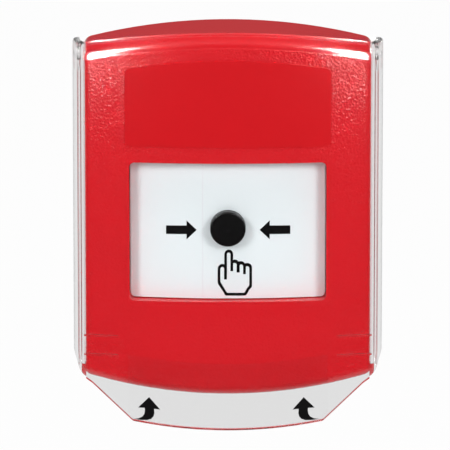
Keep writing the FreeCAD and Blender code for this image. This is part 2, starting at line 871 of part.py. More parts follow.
def press_plate():
    """White plate: bowed skin, skirt, stop flange, guide pins, spring cup and striker."""
    plate = new_body("press_block")
    half = "(window_width / 2 - press_gap)"
    low, high = "-window_bottom + press_gap", "window_top - press_gap"
    back = "(collar_back - fit_gap / 3 - flange_thickness)"
    drawing = sketch(plate, "front", back)
    box_outline(drawing, f"-{half}", half, low, high)
    pad(plate, drawing, f"press_depth - {back}")
    fillet(plate, "window_corner - press_gap", lambda e: runs_along(e, 1))
    wide = "(window_width / 2 + 4)"
    bow_cut(plate, "press_depth", "press_radius", wide, "200")

    hollow = new_body("press_hollow")
    drawing = sketch(hollow, "front", f"{back} - 1")
    box_outline(
        drawing,
        f"-({half} - press_skirt)",
        f"{half} - press_skirt",
        f"{low} + press_skirt",
        f"{high} - press_skirt",
    )
    pad(hollow, drawing, f"press_depth - press_skin - {back} + 1")
    bow_cut(hollow, "press_depth - press_skin", "(press_radius - press_skin)", wide, "200")

    flange = new_body("press_flange")
    drawing = sketch(flange, "front", back)
    box_outline(
        drawing,
        f"-({half} + flange_reach)",
        f"{half} + flange_reach",
        f"{low} - flange_reach",
        f"{high} + flange_reach",
    )
    pad(flange, drawing, "flange_thickness")
    fillet(flange, "window_corner", lambda e: runs_along(e, 1))
    ring = join("press_shell_outer", [plate, flange])
    shell = take_away("press_shell", ring, hollow)

    inner = new_body("press_inner_forms")
    drawing = sketch(inner, "front", "guide_pin_end")
    for side in (-1, 1):
        for rise in (-1, 1):
            spot = (f"{side} * guide_offset", f"{WINDOW_MID} + {rise} * guide_rise")
            circle(drawing, *spot, "guide_pin_radius")
    skin = "(press_depth - press_skin / 2)"
    tuck = "(press_radius - sqrt(press_radius^2 - guide_offset^2))"
    pad(inner, drawing, f"{skin} - {tuck} - guide_pin_end")
    cup = new_body("spring_cup")
    drawing = sketch(cup, "front", "press_depth - press_skin - spring_cup_depth")
    circle(drawing, "0", WINDOW_MID, "spring_radius + spring_wire + 0.3 + spring_cup_wall")
    circle(drawing, "0", WINDOW_MID, "spring_radius + spring_wire + 0.3")
    pad(cup, drawing, "spring_cup_depth + press_skin / 2")
    striker = new_body("striker")
    drawing = sketch(striker, "front", "striker_end")
    box_outline(
        drawing,
        "striker_offset - striker_width / 2",
        "striker_offset + striker_width / 2",
        f"{SWITCH_MID} - lever_width / 2",
        f"{SWITCH_MID} + lever_width / 2",
    )
    pad(striker, drawing, f"{skin} - striker_end")
    whole = join("press_whole", [shell, inner, cup, striker])

    seat = new_body("disc_seat_hole")
    drawing = sketch(seat, "front", "disc_seat")
    circle(drawing, "0", f"{WINDOW_MID} + disc_lift", "disc_radius + disc_gap")
    pad(seat, drawing, "4")
    drawing = sketch(seat, "front", "disc_seat - disc_peg_length")
    circle(drawing, "0", f"{WINDOW_MID} + disc_lift", "disc_peg_radius + disc_gap")
    pad(seat, drawing, "disc_peg_length + 1")
    keep(take_away("press_plate", whole, seat), "press_plate")


def push_disc():
    """Black disc with a crowned front, a rounded edge and a peg through the plate."""
    disc = new_body("push_disc")
    drawing = sketch(disc, "front")
    crown = "((disc_radius^2 + disc_crown^2) / (2 * disc_crown))"
    height = "(disc_front - disc_seat)"
    outline(
        drawing,
        [
            ("0", "-disc_peg_length"),
            ("disc_peg_radius", "-disc_peg_length"),
            ("disc_peg_radius", "0"),
            ("disc_radius", "0"),
            ("disc_radius", f"{height} - disc_crown", crown),
            ("0", height),
        ],
    )
    spin(disc, drawing)
    rim = number(f"{height} - disc_crown")
    fillet(
        disc,
        "disc_edge",
        lambda e: abs(e.BoundBox.ZMax - rim) < 1e-3 and abs(e.BoundBox.ZMin - rim) < 1e-3,
    )
    place(disc, "0", "disc_seat", f"{WINDOW_MID} + disc_lift", FACES_USER)
    keep(disc, "push_disc")


def return_spring():
    """Coil spring between the chassis boss and the plate's cup."""
    space = f"(press_depth - press_skin - {CHASSIS_FRONT})"
    length = f"({space} - 2 * spring_wire - 2 * spring_end_gap)"
    path = doc.addObject("Part::Helix", "spring_path")
    path.setExpression("Radius", bound("spring_radius"))
    path.setExpression("Height", bound(length))
    path.setExpression("Pitch", bound(f"{length} / spring_turns"))
    wire = doc.addObject("Part::Circle", "spring_section")
    wire.setExpression("Radius", bound("spring_wire"))
    wire.Placement = Placement(Vector(0, 0, 0), Rotation(Vector(1, 0, 0), 90))
    wire.setExpression("Placement.Base.x", bound("spring_radius"))
    coil = doc.addObject("Part::Sweep", "return_spring")
    coil.Sections = [wire]
    coil.Spine = (path, ["Edge1"])
    coil.Solid = True
    coil.Frenet = True
    place(coil, "0", f"{CHASSIS_FRONT} + spring_wire + spring_end_gap", WINDOW_MID, FACES_USER)
    keep(coil, "return_spring")


def microswitch():
    """Switch body with its plunger, lever and three terminals."""
    half, width = "switch_length / 2", "switch_width / 2"
    body = new_body("switch_body")
    drawing = sketch(body, "front", CHASSIS_FRONT)
    box_outline(drawing, f"-{half}", half, f"{SWITCH_MID} - {width}", f"{SWITCH_MID} + {width}")
    pad(body, drawing, "switch_height")
    fillet(body, "0.4", lambda e: runs_along(e, 1))
    drawing = sketch(body, "front", SWITCH_FRONT)
    circle(drawing, "-plunger_offset", SWITCH_MID, "plunger_radius + running_gap / 2")
    cut(body, drawing, "plunger_hole_depth")
    drawing = sketch(body, "top", f"{SWITCH_MID} + {width} + 1")
    for side in (-1, 1):
        circle(drawing, f"{side} * switch_length / 4", f"-({CHASSIS_FRONT} + 2.2)", "1")
    cut(body, drawing, "switch_width + 2")
    keep(body, "switch_body")

    plunger = new_body("switch_plunger")
    drawing = sketch(plunger, "front", f"{SWITCH_FRONT} - plunger_hole_depth + 1")
    circle(drawing, "-plunger_offset", SWITCH_MID, "plunger_radius")
    pad(plunger, drawing, "plunger_rise + plunger_hole_depth - 1")
    front = number(f"-({SWITCH_FRONT} + plunger_rise)")
    fillet(plunger, "0.3", lambda e: abs(e.BoundBox.YMax - front) < 1e-3)
    keep(plunger, "switch_plunger")

    lever = new_body("switch_lever")
    drawing = sketch(lever, "top", f"{SWITCH_MID} - lever_width / 2")
    pivot = f"-({SWITCH_FRONT} + lever_rise)"
    outline(
        drawing,
        [
            ("-lever_pivot", f"{pivot} - lever_thickness"),
            ("-lever_pivot + lever_length", f"{pivot} - lever_tip_rise - lever_thickness"),
            ("-lever_pivot + lever_length", f"{pivot} - lever_tip_rise"),
            ("-lever_pivot", pivot),
        ],
    )
    pad(lever, drawing, "lever_width")
    drawing = sketch(lever, "top", f"{SWITCH_MID} - lever_width / 2")
    circle(drawing, "-lever_pivot", pivot, "lever_knuckle")
    pad(lever, drawing, "lever_width")
    keep(lever, "switch_lever")

    blades = []
    for step in (-1, 0, 1):
        blade = new_body("terminal_blade")
        drawing = sketch(blade, "front", "terminal_end")
        box_outline(
            drawing,
            f"{step} * terminal_pitch - terminal_width / 2",
            f"{step} * terminal_pitch + terminal_width / 2",
            f"{SWITCH_MID} - terminal_thickness / 2",
            f"{SWITCH_MID} + terminal_thickness / 2",
        )
        pad(blade, drawing, f"{CHASSIS_FRONT} - terminal_end")
        blades.append(blade)
    keep(group("switch_terminals", blades), "switch_terminals")


def circuit_board():
    """Board on the chassis' back, with the block, its screws and two resistors."""
    half = "board_width / 2"
    board = new_body("circuit_board")
    drawing = sketch(board, "front", "board_back")
    box_outline(drawing, f"-{half}", half, "-board_bottom", "board_top")
    pad(board, drawing, "board_thickness")
    fillet(board, "1.5", lambda e: runs_along(e, 1))
    drawing = sketch(board, "front", "board_back + board_thickness + 1")
    board_posts(drawing, "small_screw_radius + 0.1")
    for step in (-1, 0, 1):
        box_outline(
            drawing,
            f"{step} * terminal_pitch - terminal_width / 2",
            f"{step} * terminal_pitch + terminal_width / 2",
            f"{SWITCH_MID} - terminal_thickness / 2",
            f"{SWITCH_MID} + terminal_thickness / 2",
        )
    cut(board, drawing, "board_thickness + 2")
    keep(board, "circuit_board")

    front = "(board_back + board_thickness)"
    block = new_body("terminal_block")
    drawing = sketch(block, "side", "-block_width / 2")
    outline(
        drawing,
        [
            (f"-{front}", "block_high"),
            ("-(block_front - 3)", "block_high"),
            ("-block_front", "block_high - 3"),
            ("-block_front", "block_low"),
            (f"-{front}", "block_low"),
        ],
    )
    pad(block, drawing, "block_width")
    count = int(number("block_ways"))
    ways = [f"({i} - (block_ways - 1) / 2) * way_pitch" for i in range(count)]
    middle = "((block_low + block_high - 3) / 2)"
    drawing = sketch(block, "front", "block_front")
    for across in ways:
        circle(drawing, across, middle, "clamp_screw_radius + 0.2")
    cut(block, drawing, "clamp_screw_length + 0.6")
    drawing = sketch(block, "top", "block_high")
    for across in ways:
        box_outline(
            drawing,
            f"{across} - wire_mouth / 2",
            f"{across} + wire_mouth / 2",
            f"-({front} + 1.2 + wire_mouth)",
            f"-({front} + 1.2)",
        )
    cut(block, drawing, "block_high - block_low - 2")
    keep(block, "terminal_block")

    screws = []
    for across in ways:
        screw = slotted_screw("clamp_screw", "clamp_screw_radius", "clamp_screw_length")
        screws.append(place(screw, across, "block_front - 0.6", middle, FACES_USER))
    keep(group("terminal_screws", screws), "terminal_screws")

    keep(group("line_resistors", [resistor(-1), resistor(1)]), "line_resistors")


def resistor(side):
    """Resistor lying along the board's wall side, with its two bent leads."""
    middle = f"{side} * resistor_pitch / 2"
    axis = "(board_back - resistor_radius - 0.2)"
    barrel = new_body("resistor")
    drawing = sketch(barrel, "top", "resistor_height - resistor_length / 2")
    circle(drawing, middle, f"-{axis}", "resistor_radius")
    pad(barrel, drawing, "resistor_length")
    fillet(barrel, "0.4", lambda e: e.Curve.TypeId == "Part::GeomCircle")
    inner, outer = f"-({axis} + resistor_lead)", f"-({axis} - resistor_lead)"
    for end in (-1, 1):
        tip = f"resistor_height + {end} * (resistor_length / 2 + 1)"
        near = f"resistor_height + {end} * (resistor_length / 2 - 0.5)"
        bend = f"{tip} - {end} * 2 * resistor_lead"
        for column, row in ((inner, near), ("-board_back", bend)):
            drawing = sketch(barrel, "side", f"{middle} - resistor_lead")
            box_outline(drawing, column, outer, *sorted((tip, row), key=number))
            pad(barrel, drawing, "2 * resistor_lead")
    return barrel


def status_flag():
    """Striped shutter on a bracket that slides down behind the face."""
    flag = new_body("status_flag")
    back = f"({CHASSIS_FRONT} + running_gap)"
    half = "flag_stem_width / 2"
    drawing = sketch(flag, "side", f"-{half}")
    outline(
        drawing,
        [
            (f"-({back} + flag_slider_thickness)", "flag_slider_low"),
            (f"-{back}", "flag_slider_low"),
            (f"-{back}", "flag_high"),
            ("-flag_front", "flag_high"),
            ("-flag_front", "flag_high - 3"),
            ("-(flag_front - flag_thickness)", "flag_high - 3"),
            ("-(flag_front - flag_thickness)", "flag_high - 1.2"),
            (f"-({back} + flag_slider_thickness)", "flag_high - 1.2"),
        ],
    )
    pad(flag, drawing, "flag_stem_width")
    drawing = sketch(flag, "front", "flag_front - flag_thickness")
    box_outline(drawing, "-flag_width / 2", "flag_width / 2", "flag_low", "flag_high - 1.2")
    pad(flag, drawing, "flag_thickness")
    keep(flag, "status_flag")


def reset_lock():
    """Lock body, turning barrel with its drive pin, and the latch that the pin slides."""
    half = "lock_width / 2"
    left, right = f"reset_offset - {half}", f"reset_offset + {half}"
    lock = new_body("reset_lock_body")
    drawing = sketch(lock, "front", "lock_back")
    box_outline(drawing, left, right, LOCK_FOOT, "-lock_top")
    pad(lock, drawing, "lock_front - lock_back")
    rails = "(latch_thickness + 0.6)"
    for low, high in (
        ("-lock_front", "-(latch_front + 2 * running_gap)"),
        ("-(latch_back - 2 * running_gap)", "-(latch_back - 2 * running_gap - 2)"),
    ):
        drawing = sketch(lock, "top", "-lock_top")
        box_outline(drawing, left, right, low, high)
        pad(lock, drawing, rails)
    drawing = sketch(lock, "side", left)
    box_outline(drawing, "-(rim_height + fit_gap)", "0", f"{LOCK_FOOT} - 1", RIM_INSIDE)
    cut(lock, drawing, "lock_width", along_normal=True)
    drawing = sketch(lock, "top", "-lock_top")
    circle(drawing, "reset_offset", "-reset_depth", "barrel_radius + running_gap")
    cut(lock, drawing, "housing_bottom")
    drawing = sketch(lock, "top", f"{LOCK_FOOT} + barrel_flange_height + 2 * running_gap")
    circle(drawing, "reset_offset", "-reset_depth", "barrel_flange_radius + 2 * running_gap")
    cut(lock, drawing, "barrel_flange_height + 2")
    drawing = sketch(lock, "front", "lock_front")
    for side in (-1, 1):
        circle(drawing, LOCK_SCREW_ACROSS[side], LOCK_SCREW_UP, "small_screw_radius + 0.1")
    cut(lock, drawing, "lock_front")
    drawing = sketch(lock, "front", "lock_front")
    for side in (-1, 1):
        circle(drawing, LOCK_SCREW_ACROSS[side], LOCK_SCREW_UP, "small_head_radius + 0.1")
    cut(lock, drawing, "lock_front - lock_back - lock_seat")
    keep(lock, "reset_lock_body")

    barrel = new_body("reset_barrel")
    foot = (
        "(-housing_bottom + arch_radius - sqrt(arch_radius^2 - reset_offset^2)"
        " + barrel_recess)"
    )
    drawing = sketch(barrel, "top", foot)
    circle(drawing, "0", "0", "barrel_radius")
    pad(barrel, drawing, f"-lock_top - 2 * running_gap - {foot}")
    drawing = sketch(barrel, "top", LOCK_FOOT)
    circle(drawing, "0", "0", "barrel_flange_radius")
    pad(barrel, drawing, "barrel_flange_height")
    drawing = sketch(barrel, "top", "-lock_top - 1")
    throw = "drive_pin_throw * sqrt(0.5)"
    circle(drawing, f"-{throw}", f"-{throw}", "drive_pin_radius")
    pad(barrel, drawing, "1 + 2 * running_gap + latch_thickness + 0.4")
    drawing = sketch(barrel, "top", foot)
    box_outline(
        drawing,
        "-key_slot_length / 2",
        "key_slot_length / 2",
        "-key_slot_width / 2",
        "key_slot_width / 2",
    )
    cut(barrel, drawing, "key_slot_depth", along_normal=True)
    place(barrel, "reset_offset", "reset_depth", "0")
    keep(barrel, "reset_barrel")

    latch = new_body("latch_plate")
    floor = "-lock_top + 2 * running_gap"
    reach = "latch_half_length"
    drawing = sketch(latch, "top", floor)
    box_outline(
        drawing,
        f"reset_offset - {reach}",
        f"reset_offset + {reach}",
        "-latch_front",
        "-latch_back",
    )
    pad(latch, drawing, "latch_thickness")
    drawing = sketch(latch, "top", f"{floor} + latch_thickness")
    pin_across = f"(reset_offset - {throw})"
    gap = "(drive_pin_radius + latch_slot_gap)"
    box_outline(
        drawing,
        f"{pin_across} - {gap}",
        f"{pin_across} + {gap}",
        f"-(reset_depth + drive_pin_throw) - {gap}",
        f"-(reset_depth + {throw}) + {gap}",
    )
    cut(latch, drawing, "latch_thickness + 1")
    drawing = sketch(latch, "front", "latch_nose_back")
    flange_edge = "(-window_bottom + press_gap - flange_reach)"
    box_outline(
        drawing,
        "reset_offset + 2 - latch_nose_width / 2",
        "reset_offset + 2 + latch_nose_width / 2",
        floor,
        f"{flange_edge} - latch_clearance",
    )
    pad(latch, drawing, "latch_nose_thickness")
    keep(latch, "latch_plate")


def hinge_pins():
    """Two steel pins pressed into the housing, on which the cover's ears turn."""
    pins = []
    for side in (-1, 1):
        pin = new_body("hinge_pin")
        drawing = sketch(pin, "side", f"{side} * ({HALF} + 1 - pin_inside)")
        circle(drawing, "-pin_depth", PIN_HEIGHT, "pin_radius")
        pad(pin, drawing, f"{EAR_HALF} - {HALF} - 1 + pin_inside", reverse=side < 0)
        end = number(f"{side} * {EAR_HALF}")
        fillet(pin, "0.4", lambda e, end=end: abs(e.BoundBox.XMax - end) < 1e-3)
        pins.append(pin)
    keep(group("hinge_pins", pins), "hinge_pins")


def cover_form(name, wall, back, top):
    """Solid of the cover's own form above the lip, inset all round by a wall. Its sides
    draw in towards the front."""
    form = new_body(name)
    half = f"({COVER_HALF} - {wall} + tan(cover_draft) * ({COVER_BACK} - ({back})))"
    foot = f"(-cover_side_bottom + {wall})"
    drawing = sketch(form, "front", back)
    points = [(f"-{half}", foot), (half, foot), (half, top), (f"-{half}", top)]
    if wall == "0":
        points[2] = (half, top, "cover_top_radius")
    outline(drawing, points)
    pad(form, drawing, f"{COVER_DEPTH} - {wall} - ({back})")
    drawing = sketch(form, "top")
    edge, end = f"-({back})", f"-({back}) - {COVER_DEPTH}"
    near = f"({half} - tan(cover_draft) * {COVER_DEPTH})"
    outer = f"({half} + 2)"
    outline(drawing, [(half, edge), (near, end), (outer, end), (outer, edge)])
    outline(
        drawing,
        [(f"-{half}", edge), (f"-{outer}", edge), (f"-{outer}", end), (f"-{near}", end)],
    )
    cut(form, drawing, "housing_top * 4", both_ways=True)
    low = number(foot)
    fillet(
        form,
        f"cover_bottom_corner - {wall}",
        lambda e: e.BoundBox.YLength > 5 and e.BoundBox.ZMax < low + 1e-3,
    )
    return form


def cover_shell():
    """Outer form of the cover, with its arched top and rounded front edges."""
    crown = "(housing_top + cover_crown)"
    shoulder = f"({crown} - cover_top_radius + sqrt(cover_top_radius^2 - {COVER_HALF}^2))"
    shell = cover_form("cover_shell", "0", COVER_BACK, shoulder)
    top = number(shoulder)
    fillet(
        shell,
        "cover_top_corner",
        lambda e: e.BoundBox.YLength > 5 and e.BoundBox.ZMin > top - 1e-3,
    )
    bow_cut(shell, COVER_DEPTH, COVER_RADIUS, f"({COVER_HALF} + 6)", "housing_top * 4")
    fillet(shell, "cover_front_corner", front_corner)
    return shell


def cover_hollow():
    """Space inside the cover, open at the top and the back."""
    hollow = cover_form("cover_hollow", "cover_wall", f"{COVER_BACK} - 1", "(housing_top + 10)")
    bow_cut(hollow, PANEL_BACK, PANEL_BACK_RADIUS, f"({COVER_HALF} + 6)", "housing_top * 4")
    fillet(hollow, "cover_front_corner - cover_wall / 2", front_corner)
    return hollow


def lip_opening():
    """Opening in the cover's lower wall and panel, as wide as the lip."""
    opening = new_body("lip_opening")
    drawing = sketch(opening, "front", f"{COVER_BACK} - 1")
    half = "lip_shoulder_half"
    box_outline(drawing, f"-{half}", half, "-bend_height", LIP_START)
    pad(opening, drawing, COVER_DEPTH)
    return opening


def foot_opening():
    """Room for the housing's lower corners: the cover has no floor but its panel."""
    opening = new_body("foot_opening")
    drawing = sketch(opening, "front", f"{COVER_BACK} - 1")
    half = f"({HALF} + cover_side_gap / 8)"
    high = "-cover_side_bottom + cover_bottom_corner"
    box_outline(drawing, f"-{half}", half, "-bend_height", high)
    pad(opening, drawing, COVER_DEPTH)
    reach = "4 * bend_height"
    bow_cut(opening, PANEL_BACK, PANEL_BACK_RADIUS, f"({half} + 4)", reach)
    return opening


def front_corner(edge):
    """True for the upright edges where the cover's panel meets its side walls."""
    return runs_along(edge, 2) and edge.BoundBox.YMax < -number("pin_depth")


def side_trim():
    """What is cut away above the side walls, leaving a round ear about each hinge pin."""
    trim = new_body("side_trim")
    drawing = sketch(trim, "side", f"-({COVER_HALF} + 1)")
    top = "housing_top + 15"
    outline(
        drawing,
        [
            ("-pin_depth + ear_radius", PIN_HEIGHT),
            ("5", PIN_HEIGHT),
            ("5", top),
            ("-ear_shoulder_depth", top),
            ("-ear_shoulder_depth", f"{PIN_HEIGHT} + ear_shoulder_rise"),
            ("-pin_depth", f"{PIN_HEIGHT} + ear_radius", "-ear_radius"),
        ],
    )
    pad(trim, drawing, f"2 * ({COVER_HALF} + 1)")
    corner = new_body("back_corner_trim")
    drawing = sketch(corner, "side", f"-({COVER_HALF} + 1)")
    foot = "-cover_side_bottom"
    outline(
        drawing,
        [
            (f"-{COVER_BACK} - cover_back_corner", f"{foot} - 1"),
            ("5", f"{foot} - 1"),
            ("5", f"{foot} + cover_back_corner"),
            (f"-{COVER_BACK}", f"{foot} + cover_back_corner", "-cover_back_corner"),
            (f"-{COVER_BACK} - cover_back_corner", foot),
        ],
    )
    pad(corner, drawing, f"2 * ({COVER_HALF} + 1)")
    return [trim, corner, *ear_rounding()]


def ear_rounding():
    """What is cut away at the outer upper edge of each ear, leaving it domed."""
    cuts = []
    top = f"({PIN_HEIGHT} + ear_radius)"
    inner, outer = f"({COVER_HALF} - ear_round_width)", f"({COVER_HALF} + 2)"
    for side in (-1, 1):
        rounding = new_body("ear_rounding")
        drawing = sketch(rounding, "front", f"{COVER_BACK} - 1")
        low, high = f"{top} - ear_round_height", f"{top} + 12"
        if side > 0:
            points = [
                (inner, top, "-ear_round_radius"),
                (COVER_HALF, low),
                (outer, low),
                (outer, high),
                (inner, high),
            ]
        else:
            points = [
                (f"-{COVER_HALF}", low, "-ear_round_radius"),
                (f"-{inner}", top),
                (f"-{inner}", high),
                (f"-{outer}", high),
                (f"-{outer}", low),
            ]
        outline(drawing, points)
        pad(rounding, drawing, f"ear_shoulder_depth - {COVER_BACK} + 1")
        cuts.append(rounding)
    return cuts


def ear_bosses():
    """Thicker ring about each bore, inside the ear, beside the housing's own boss."""
    bosses = []
    for side in (-1, 1):
        boss = new_body("ear_boss")
        drawing = sketch(boss, "side", f"{side} * ({HALF} + 1 + ear_boss_gap)")
        circle(drawing, "-pin_depth", PIN_HEIGHT, "ear_radius")
        circle(drawing, "-pin_depth", PIN_HEIGHT, "pin_radius + pin_bore_gap")
        pad(boss, drawing, f"{EAR_HALF} - {HALF} - 2", reverse=side < 0)
        bosses.append(boss)
    return bosses


def pin_bores():
    """Running bores for the hinge pins, through both ears."""
    bores = new_body("pin_bores")
    drawing = sketch(bores, "side", f"-({COVER_HALF} + 1)")
    circle(drawing, "-pin_depth", PIN_HEIGHT, "pin_radius + pin_bore_gap")
    pad(bores, drawing, f"2 * ({COVER_HALF} + 1)")
    return bores


PANEL_BACK = f"({COVER_DEPTH} - cover_wall)"
PANEL_BACK_RADIUS = f"({COVER_RADIUS} - cover_wall)"
LIP_RADIUS = f"(1 / (1 / {COVER_RADIUS} - tan(lip_angle) / bend_arch_radius))"
LIP_DEPTH = f"({COVER_DEPTH} - lip_overrun * tan(lip_angle))"


def along_lip(body, drawing):
    """Draws a level outline out along the slope of the lip."""
    drawn = body.newObject("PartDesign::Pad", "Pad")
    drawn.Profile = drawing
    drawn.UseCustomVector = True
    drawn.AlongSketchNormal = False
    drawn.Direction = Vector(0, -1, -1)
    drawn.setExpression("Direction.y", bound("-sin(lip_angle)"))
    drawn.setExpression("Direction.z", bound("-cos(lip_angle)"))
    drop = "(lip_overrun + lip_bottom - bend_height + 2)"
    drawn.setExpression("Length", bound(f"{drop} / cos(lip_angle)"))
    doc.recompute()
    return drawn


def lip_edge(depth, radius):
    """Y of the lip's level profile at its two ends."""
    return f"-{depth} + {radius} - sqrt({radius}^2 - lip_shoulder_half^2)"


def lip():
    """Flared lip: a sloping bowed sheet, and its outline with slanted ends and arched tip."""
    wall = "(cover_wall / cos(lip_angle))"
    inner_depth, inner_radius = f"({LIP_DEPTH} - {wall})", f"({LIP_RADIUS} - {wall})"
    sheet_body = new_body("lip_sheet")
    drawing = sketch(sheet_body, "top", LIP_START)
    outline(
        drawing,
        [
            ("-lip_shoulder_half", lip_edge(LIP_DEPTH, LIP_RADIUS), LIP_RADIUS),
            ("lip_shoulder_half", lip_edge(LIP_DEPTH, LIP_RADIUS)),
            ("lip_shoulder_half", lip_edge(inner_depth, inner_radius), f"-{inner_radius}"),
            ("-lip_shoulder_half", lip_edge(inner_depth, inner_radius)),
        ],
    )
    along_lip(sheet_body, drawing)

    stencil = new_body("lip_stencil")
    tip = "-lip_bottom + lip_tip_radius - sqrt(lip_tip_radius^2 - lip_tip_half^2)"
    drawing = sketch(stencil, "front", "0")
    outline(
        drawing,
        [
            ("-lip_root_half", "-lip_root_height"),
            ("-lip_tip_half", tip, "lip_tip_radius"),
            ("lip_tip_half", tip),
            ("lip_root_half", "-lip_root_height"),
            ("lip_shoulder_half", "-lip_shoulder_height"),
            ("lip_shoulder_half", f"{LIP_START} + cover_wall"),
            ("-lip_shoulder_half", f"{LIP_START} + cover_wall"),
            ("-lip_shoulder_half", "-lip_shoulder_height"),
        ],
    )
    pad(stencil, drawing, f"{COVER_DEPTH} + 20")
    corner = number(tip)
    fillet(
        stencil,
        "lip_corner",
        lambda e: runs_along(e, 1) and abs(e.BoundBox.ZMax - corner) < 1e-3,
    )

    behind_panel = new_body("behind_panel")
    drawing = sketch(behind_panel, "top", "-(lip_bottom + 10)")
    half = "(lip_shoulder_half + 2)"
    edge = f"-{PANEL_BACK} + {PANEL_BACK_RADIUS} - sqrt({PANEL_BACK_RADIUS}^2 - {half}^2)"
    outline(
        drawing,
        [(f"-{half}", edge, PANEL_BACK_RADIUS), (half, edge), (half, "5"), (f"-{half}", "5")],
    )
    pad(behind_panel, drawing, f"lip_bottom + 11 + {LIP_START}")

    behind_lip = new_body("behind_lip")
    drawing = sketch(behind_lip, "top", LIP_START)
    outline(
        drawing,
        [
            ("-lip_shoulder_half", lip_edge(inner_depth, inner_radius), inner_radius),
            ("lip_shoulder_half", lip_edge(inner_depth, inner_radius)),
            ("lip_shoulder_half", "30"),
            ("-lip_shoulder_half", "30"),
        ],
    )
    along_lip(behind_lip, drawing)
    return take_away("lip", sheet_body, behind_panel), behind_lip, stencil


def panel_strip():
    """Foot of the front panel, between the side walls' corners and down past the bend."""
    strip = new_body("panel_strip")
    drawing = sketch(strip, "top", "-lip_bottom")
    half = "lip_shoulder_half"
    front = f"-{COVER_DEPTH} + {COVER_RADIUS} - sqrt({COVER_RADIUS}^2 - {half}^2)"
    back = f"-{PANEL_BACK} + {PANEL_BACK_RADIUS} - sqrt({PANEL_BACK_RADIUS}^2 - {half}^2)"
    outline(
        drawing,
        [
            (f"-{half}", front, COVER_RADIUS),
            (half, front),
            (half, back, f"-{PANEL_BACK_RADIUS}"),
            (f"-{half}", back),
        ],
    )
    pad(strip, drawing, "lip_bottom - cover_side_bottom + 4 * cover_wall")
    return strip


def panel_foot():
    """Foot of the panel and the lip in one piece, with the bend between them rounded."""
    lip_part, behind_lip, stencil = lip()
    strip = take_away("strip_cut_out", panel_strip(), behind_lip)
    bent = join("bent_sheet", [strip, lip_part])
    foot = new_body("panel_foot")
    foot.BaseFeature = overlap("panel_foot_base", [bent, stencil])
    doc.recompute()
    middle = -number(f"{COVER_DEPTH} - cover_wall / 2")
    lowest = -number("(bend_height + lip_bottom) / 2")

    def bend(edge, outer):
        box = edge.BoundBox
        across = box.XLength > 80 and box.ZLength > 1 and box.ZMin > lowest
        return across and (box.YMin < middle) == outer

    fillet(foot, "bend_round", lambda e: bend(e, True))
    fillet(foot, "bend_round + cover_wall", lambda e: bend(e, False))
    return foot


def rest_ribs():
    """Short ribs inside the panel that keep it off the housing's face."""
    ribs = []
    for side in (-1, 1):
        for row in (0, 1):
            rib = new_body("rest_rib")
            drawing = sketch(rib, "front", "pin_depth")
            columns = sorted(
                (f"{side} * rest_rib_inner", f"{side} * rest_rib_outer"), key=number
            )
            low = f"-rest_rib_height + {row} * rest_rib_pitch"
            box_outline(drawing, *columns, low, f"{low} + rest_rib_thickness")
            pad(rib, drawing, f"{COVER_DEPTH} - pin_depth")
            reach = "4 * rest_rib_height"
            half = "(rest_rib_outer + 2)"
            bow_cut(rib, f"({PANEL_BACK} + 0.4)", f"({PANEL_BACK_RADIUS} + 0.4)", half, reach)
            depth = f"({PANEL_BACK} - rest_rib_reach)"
            radius = f"({PANEL_BACK_RADIUS} - rest_rib_reach)"
            bow_cut(rib, depth, radius, half, reach, front=False)
            ribs.append(rib)
    return ribs


def lift_cover():
    """Clear cover: bowed panel, side walls with ears, and the flared lip."""
    openings = [lip_opening(), foot_opening()]
    space = join("cover_space", [cover_hollow(), pin_bores(), *openings, *side_trim()])
    walls = take_away("cover_walls", cover_shell(), space)
    pieces = [walls, panel_foot(), *ear_bosses(), *rest_ribs()]
    keep(join("lift_cover", pieces), "lift_cover")


def slotted_screw(name, radius, length, head_radius=None, head_height="0"):
    """Screw standing on its tip, with the top of its slotted head at the origin."""
    screw = new_body(name)
    drawing = sketch(screw, "top", f"-({length} + {head_height})")
    circle(drawing, "0", "0", radius)
    pad(screw, drawing, f"{length} + {head_height}")
    if head_radius:
        drawing = sketch(screw, "top", f"-{head_height}")
        circle(drawing, "0", "0", head_radius)
        pad(screw, drawing, head_height)
        fillet(screw, f"{head_height} / 4", lambda e: e.BoundBox.ZMin > -1e-6)
    drawing = sketch(screw, "top", "0")
    wide = f"({head_radius or radius} + 1)"
    slot = "screw_slot_width / 2"
    box_outline(drawing, f"-{wide}", wide, f"-{slot}", slot)
    cut(screw, drawing, "screw_slot_depth")
    return screw


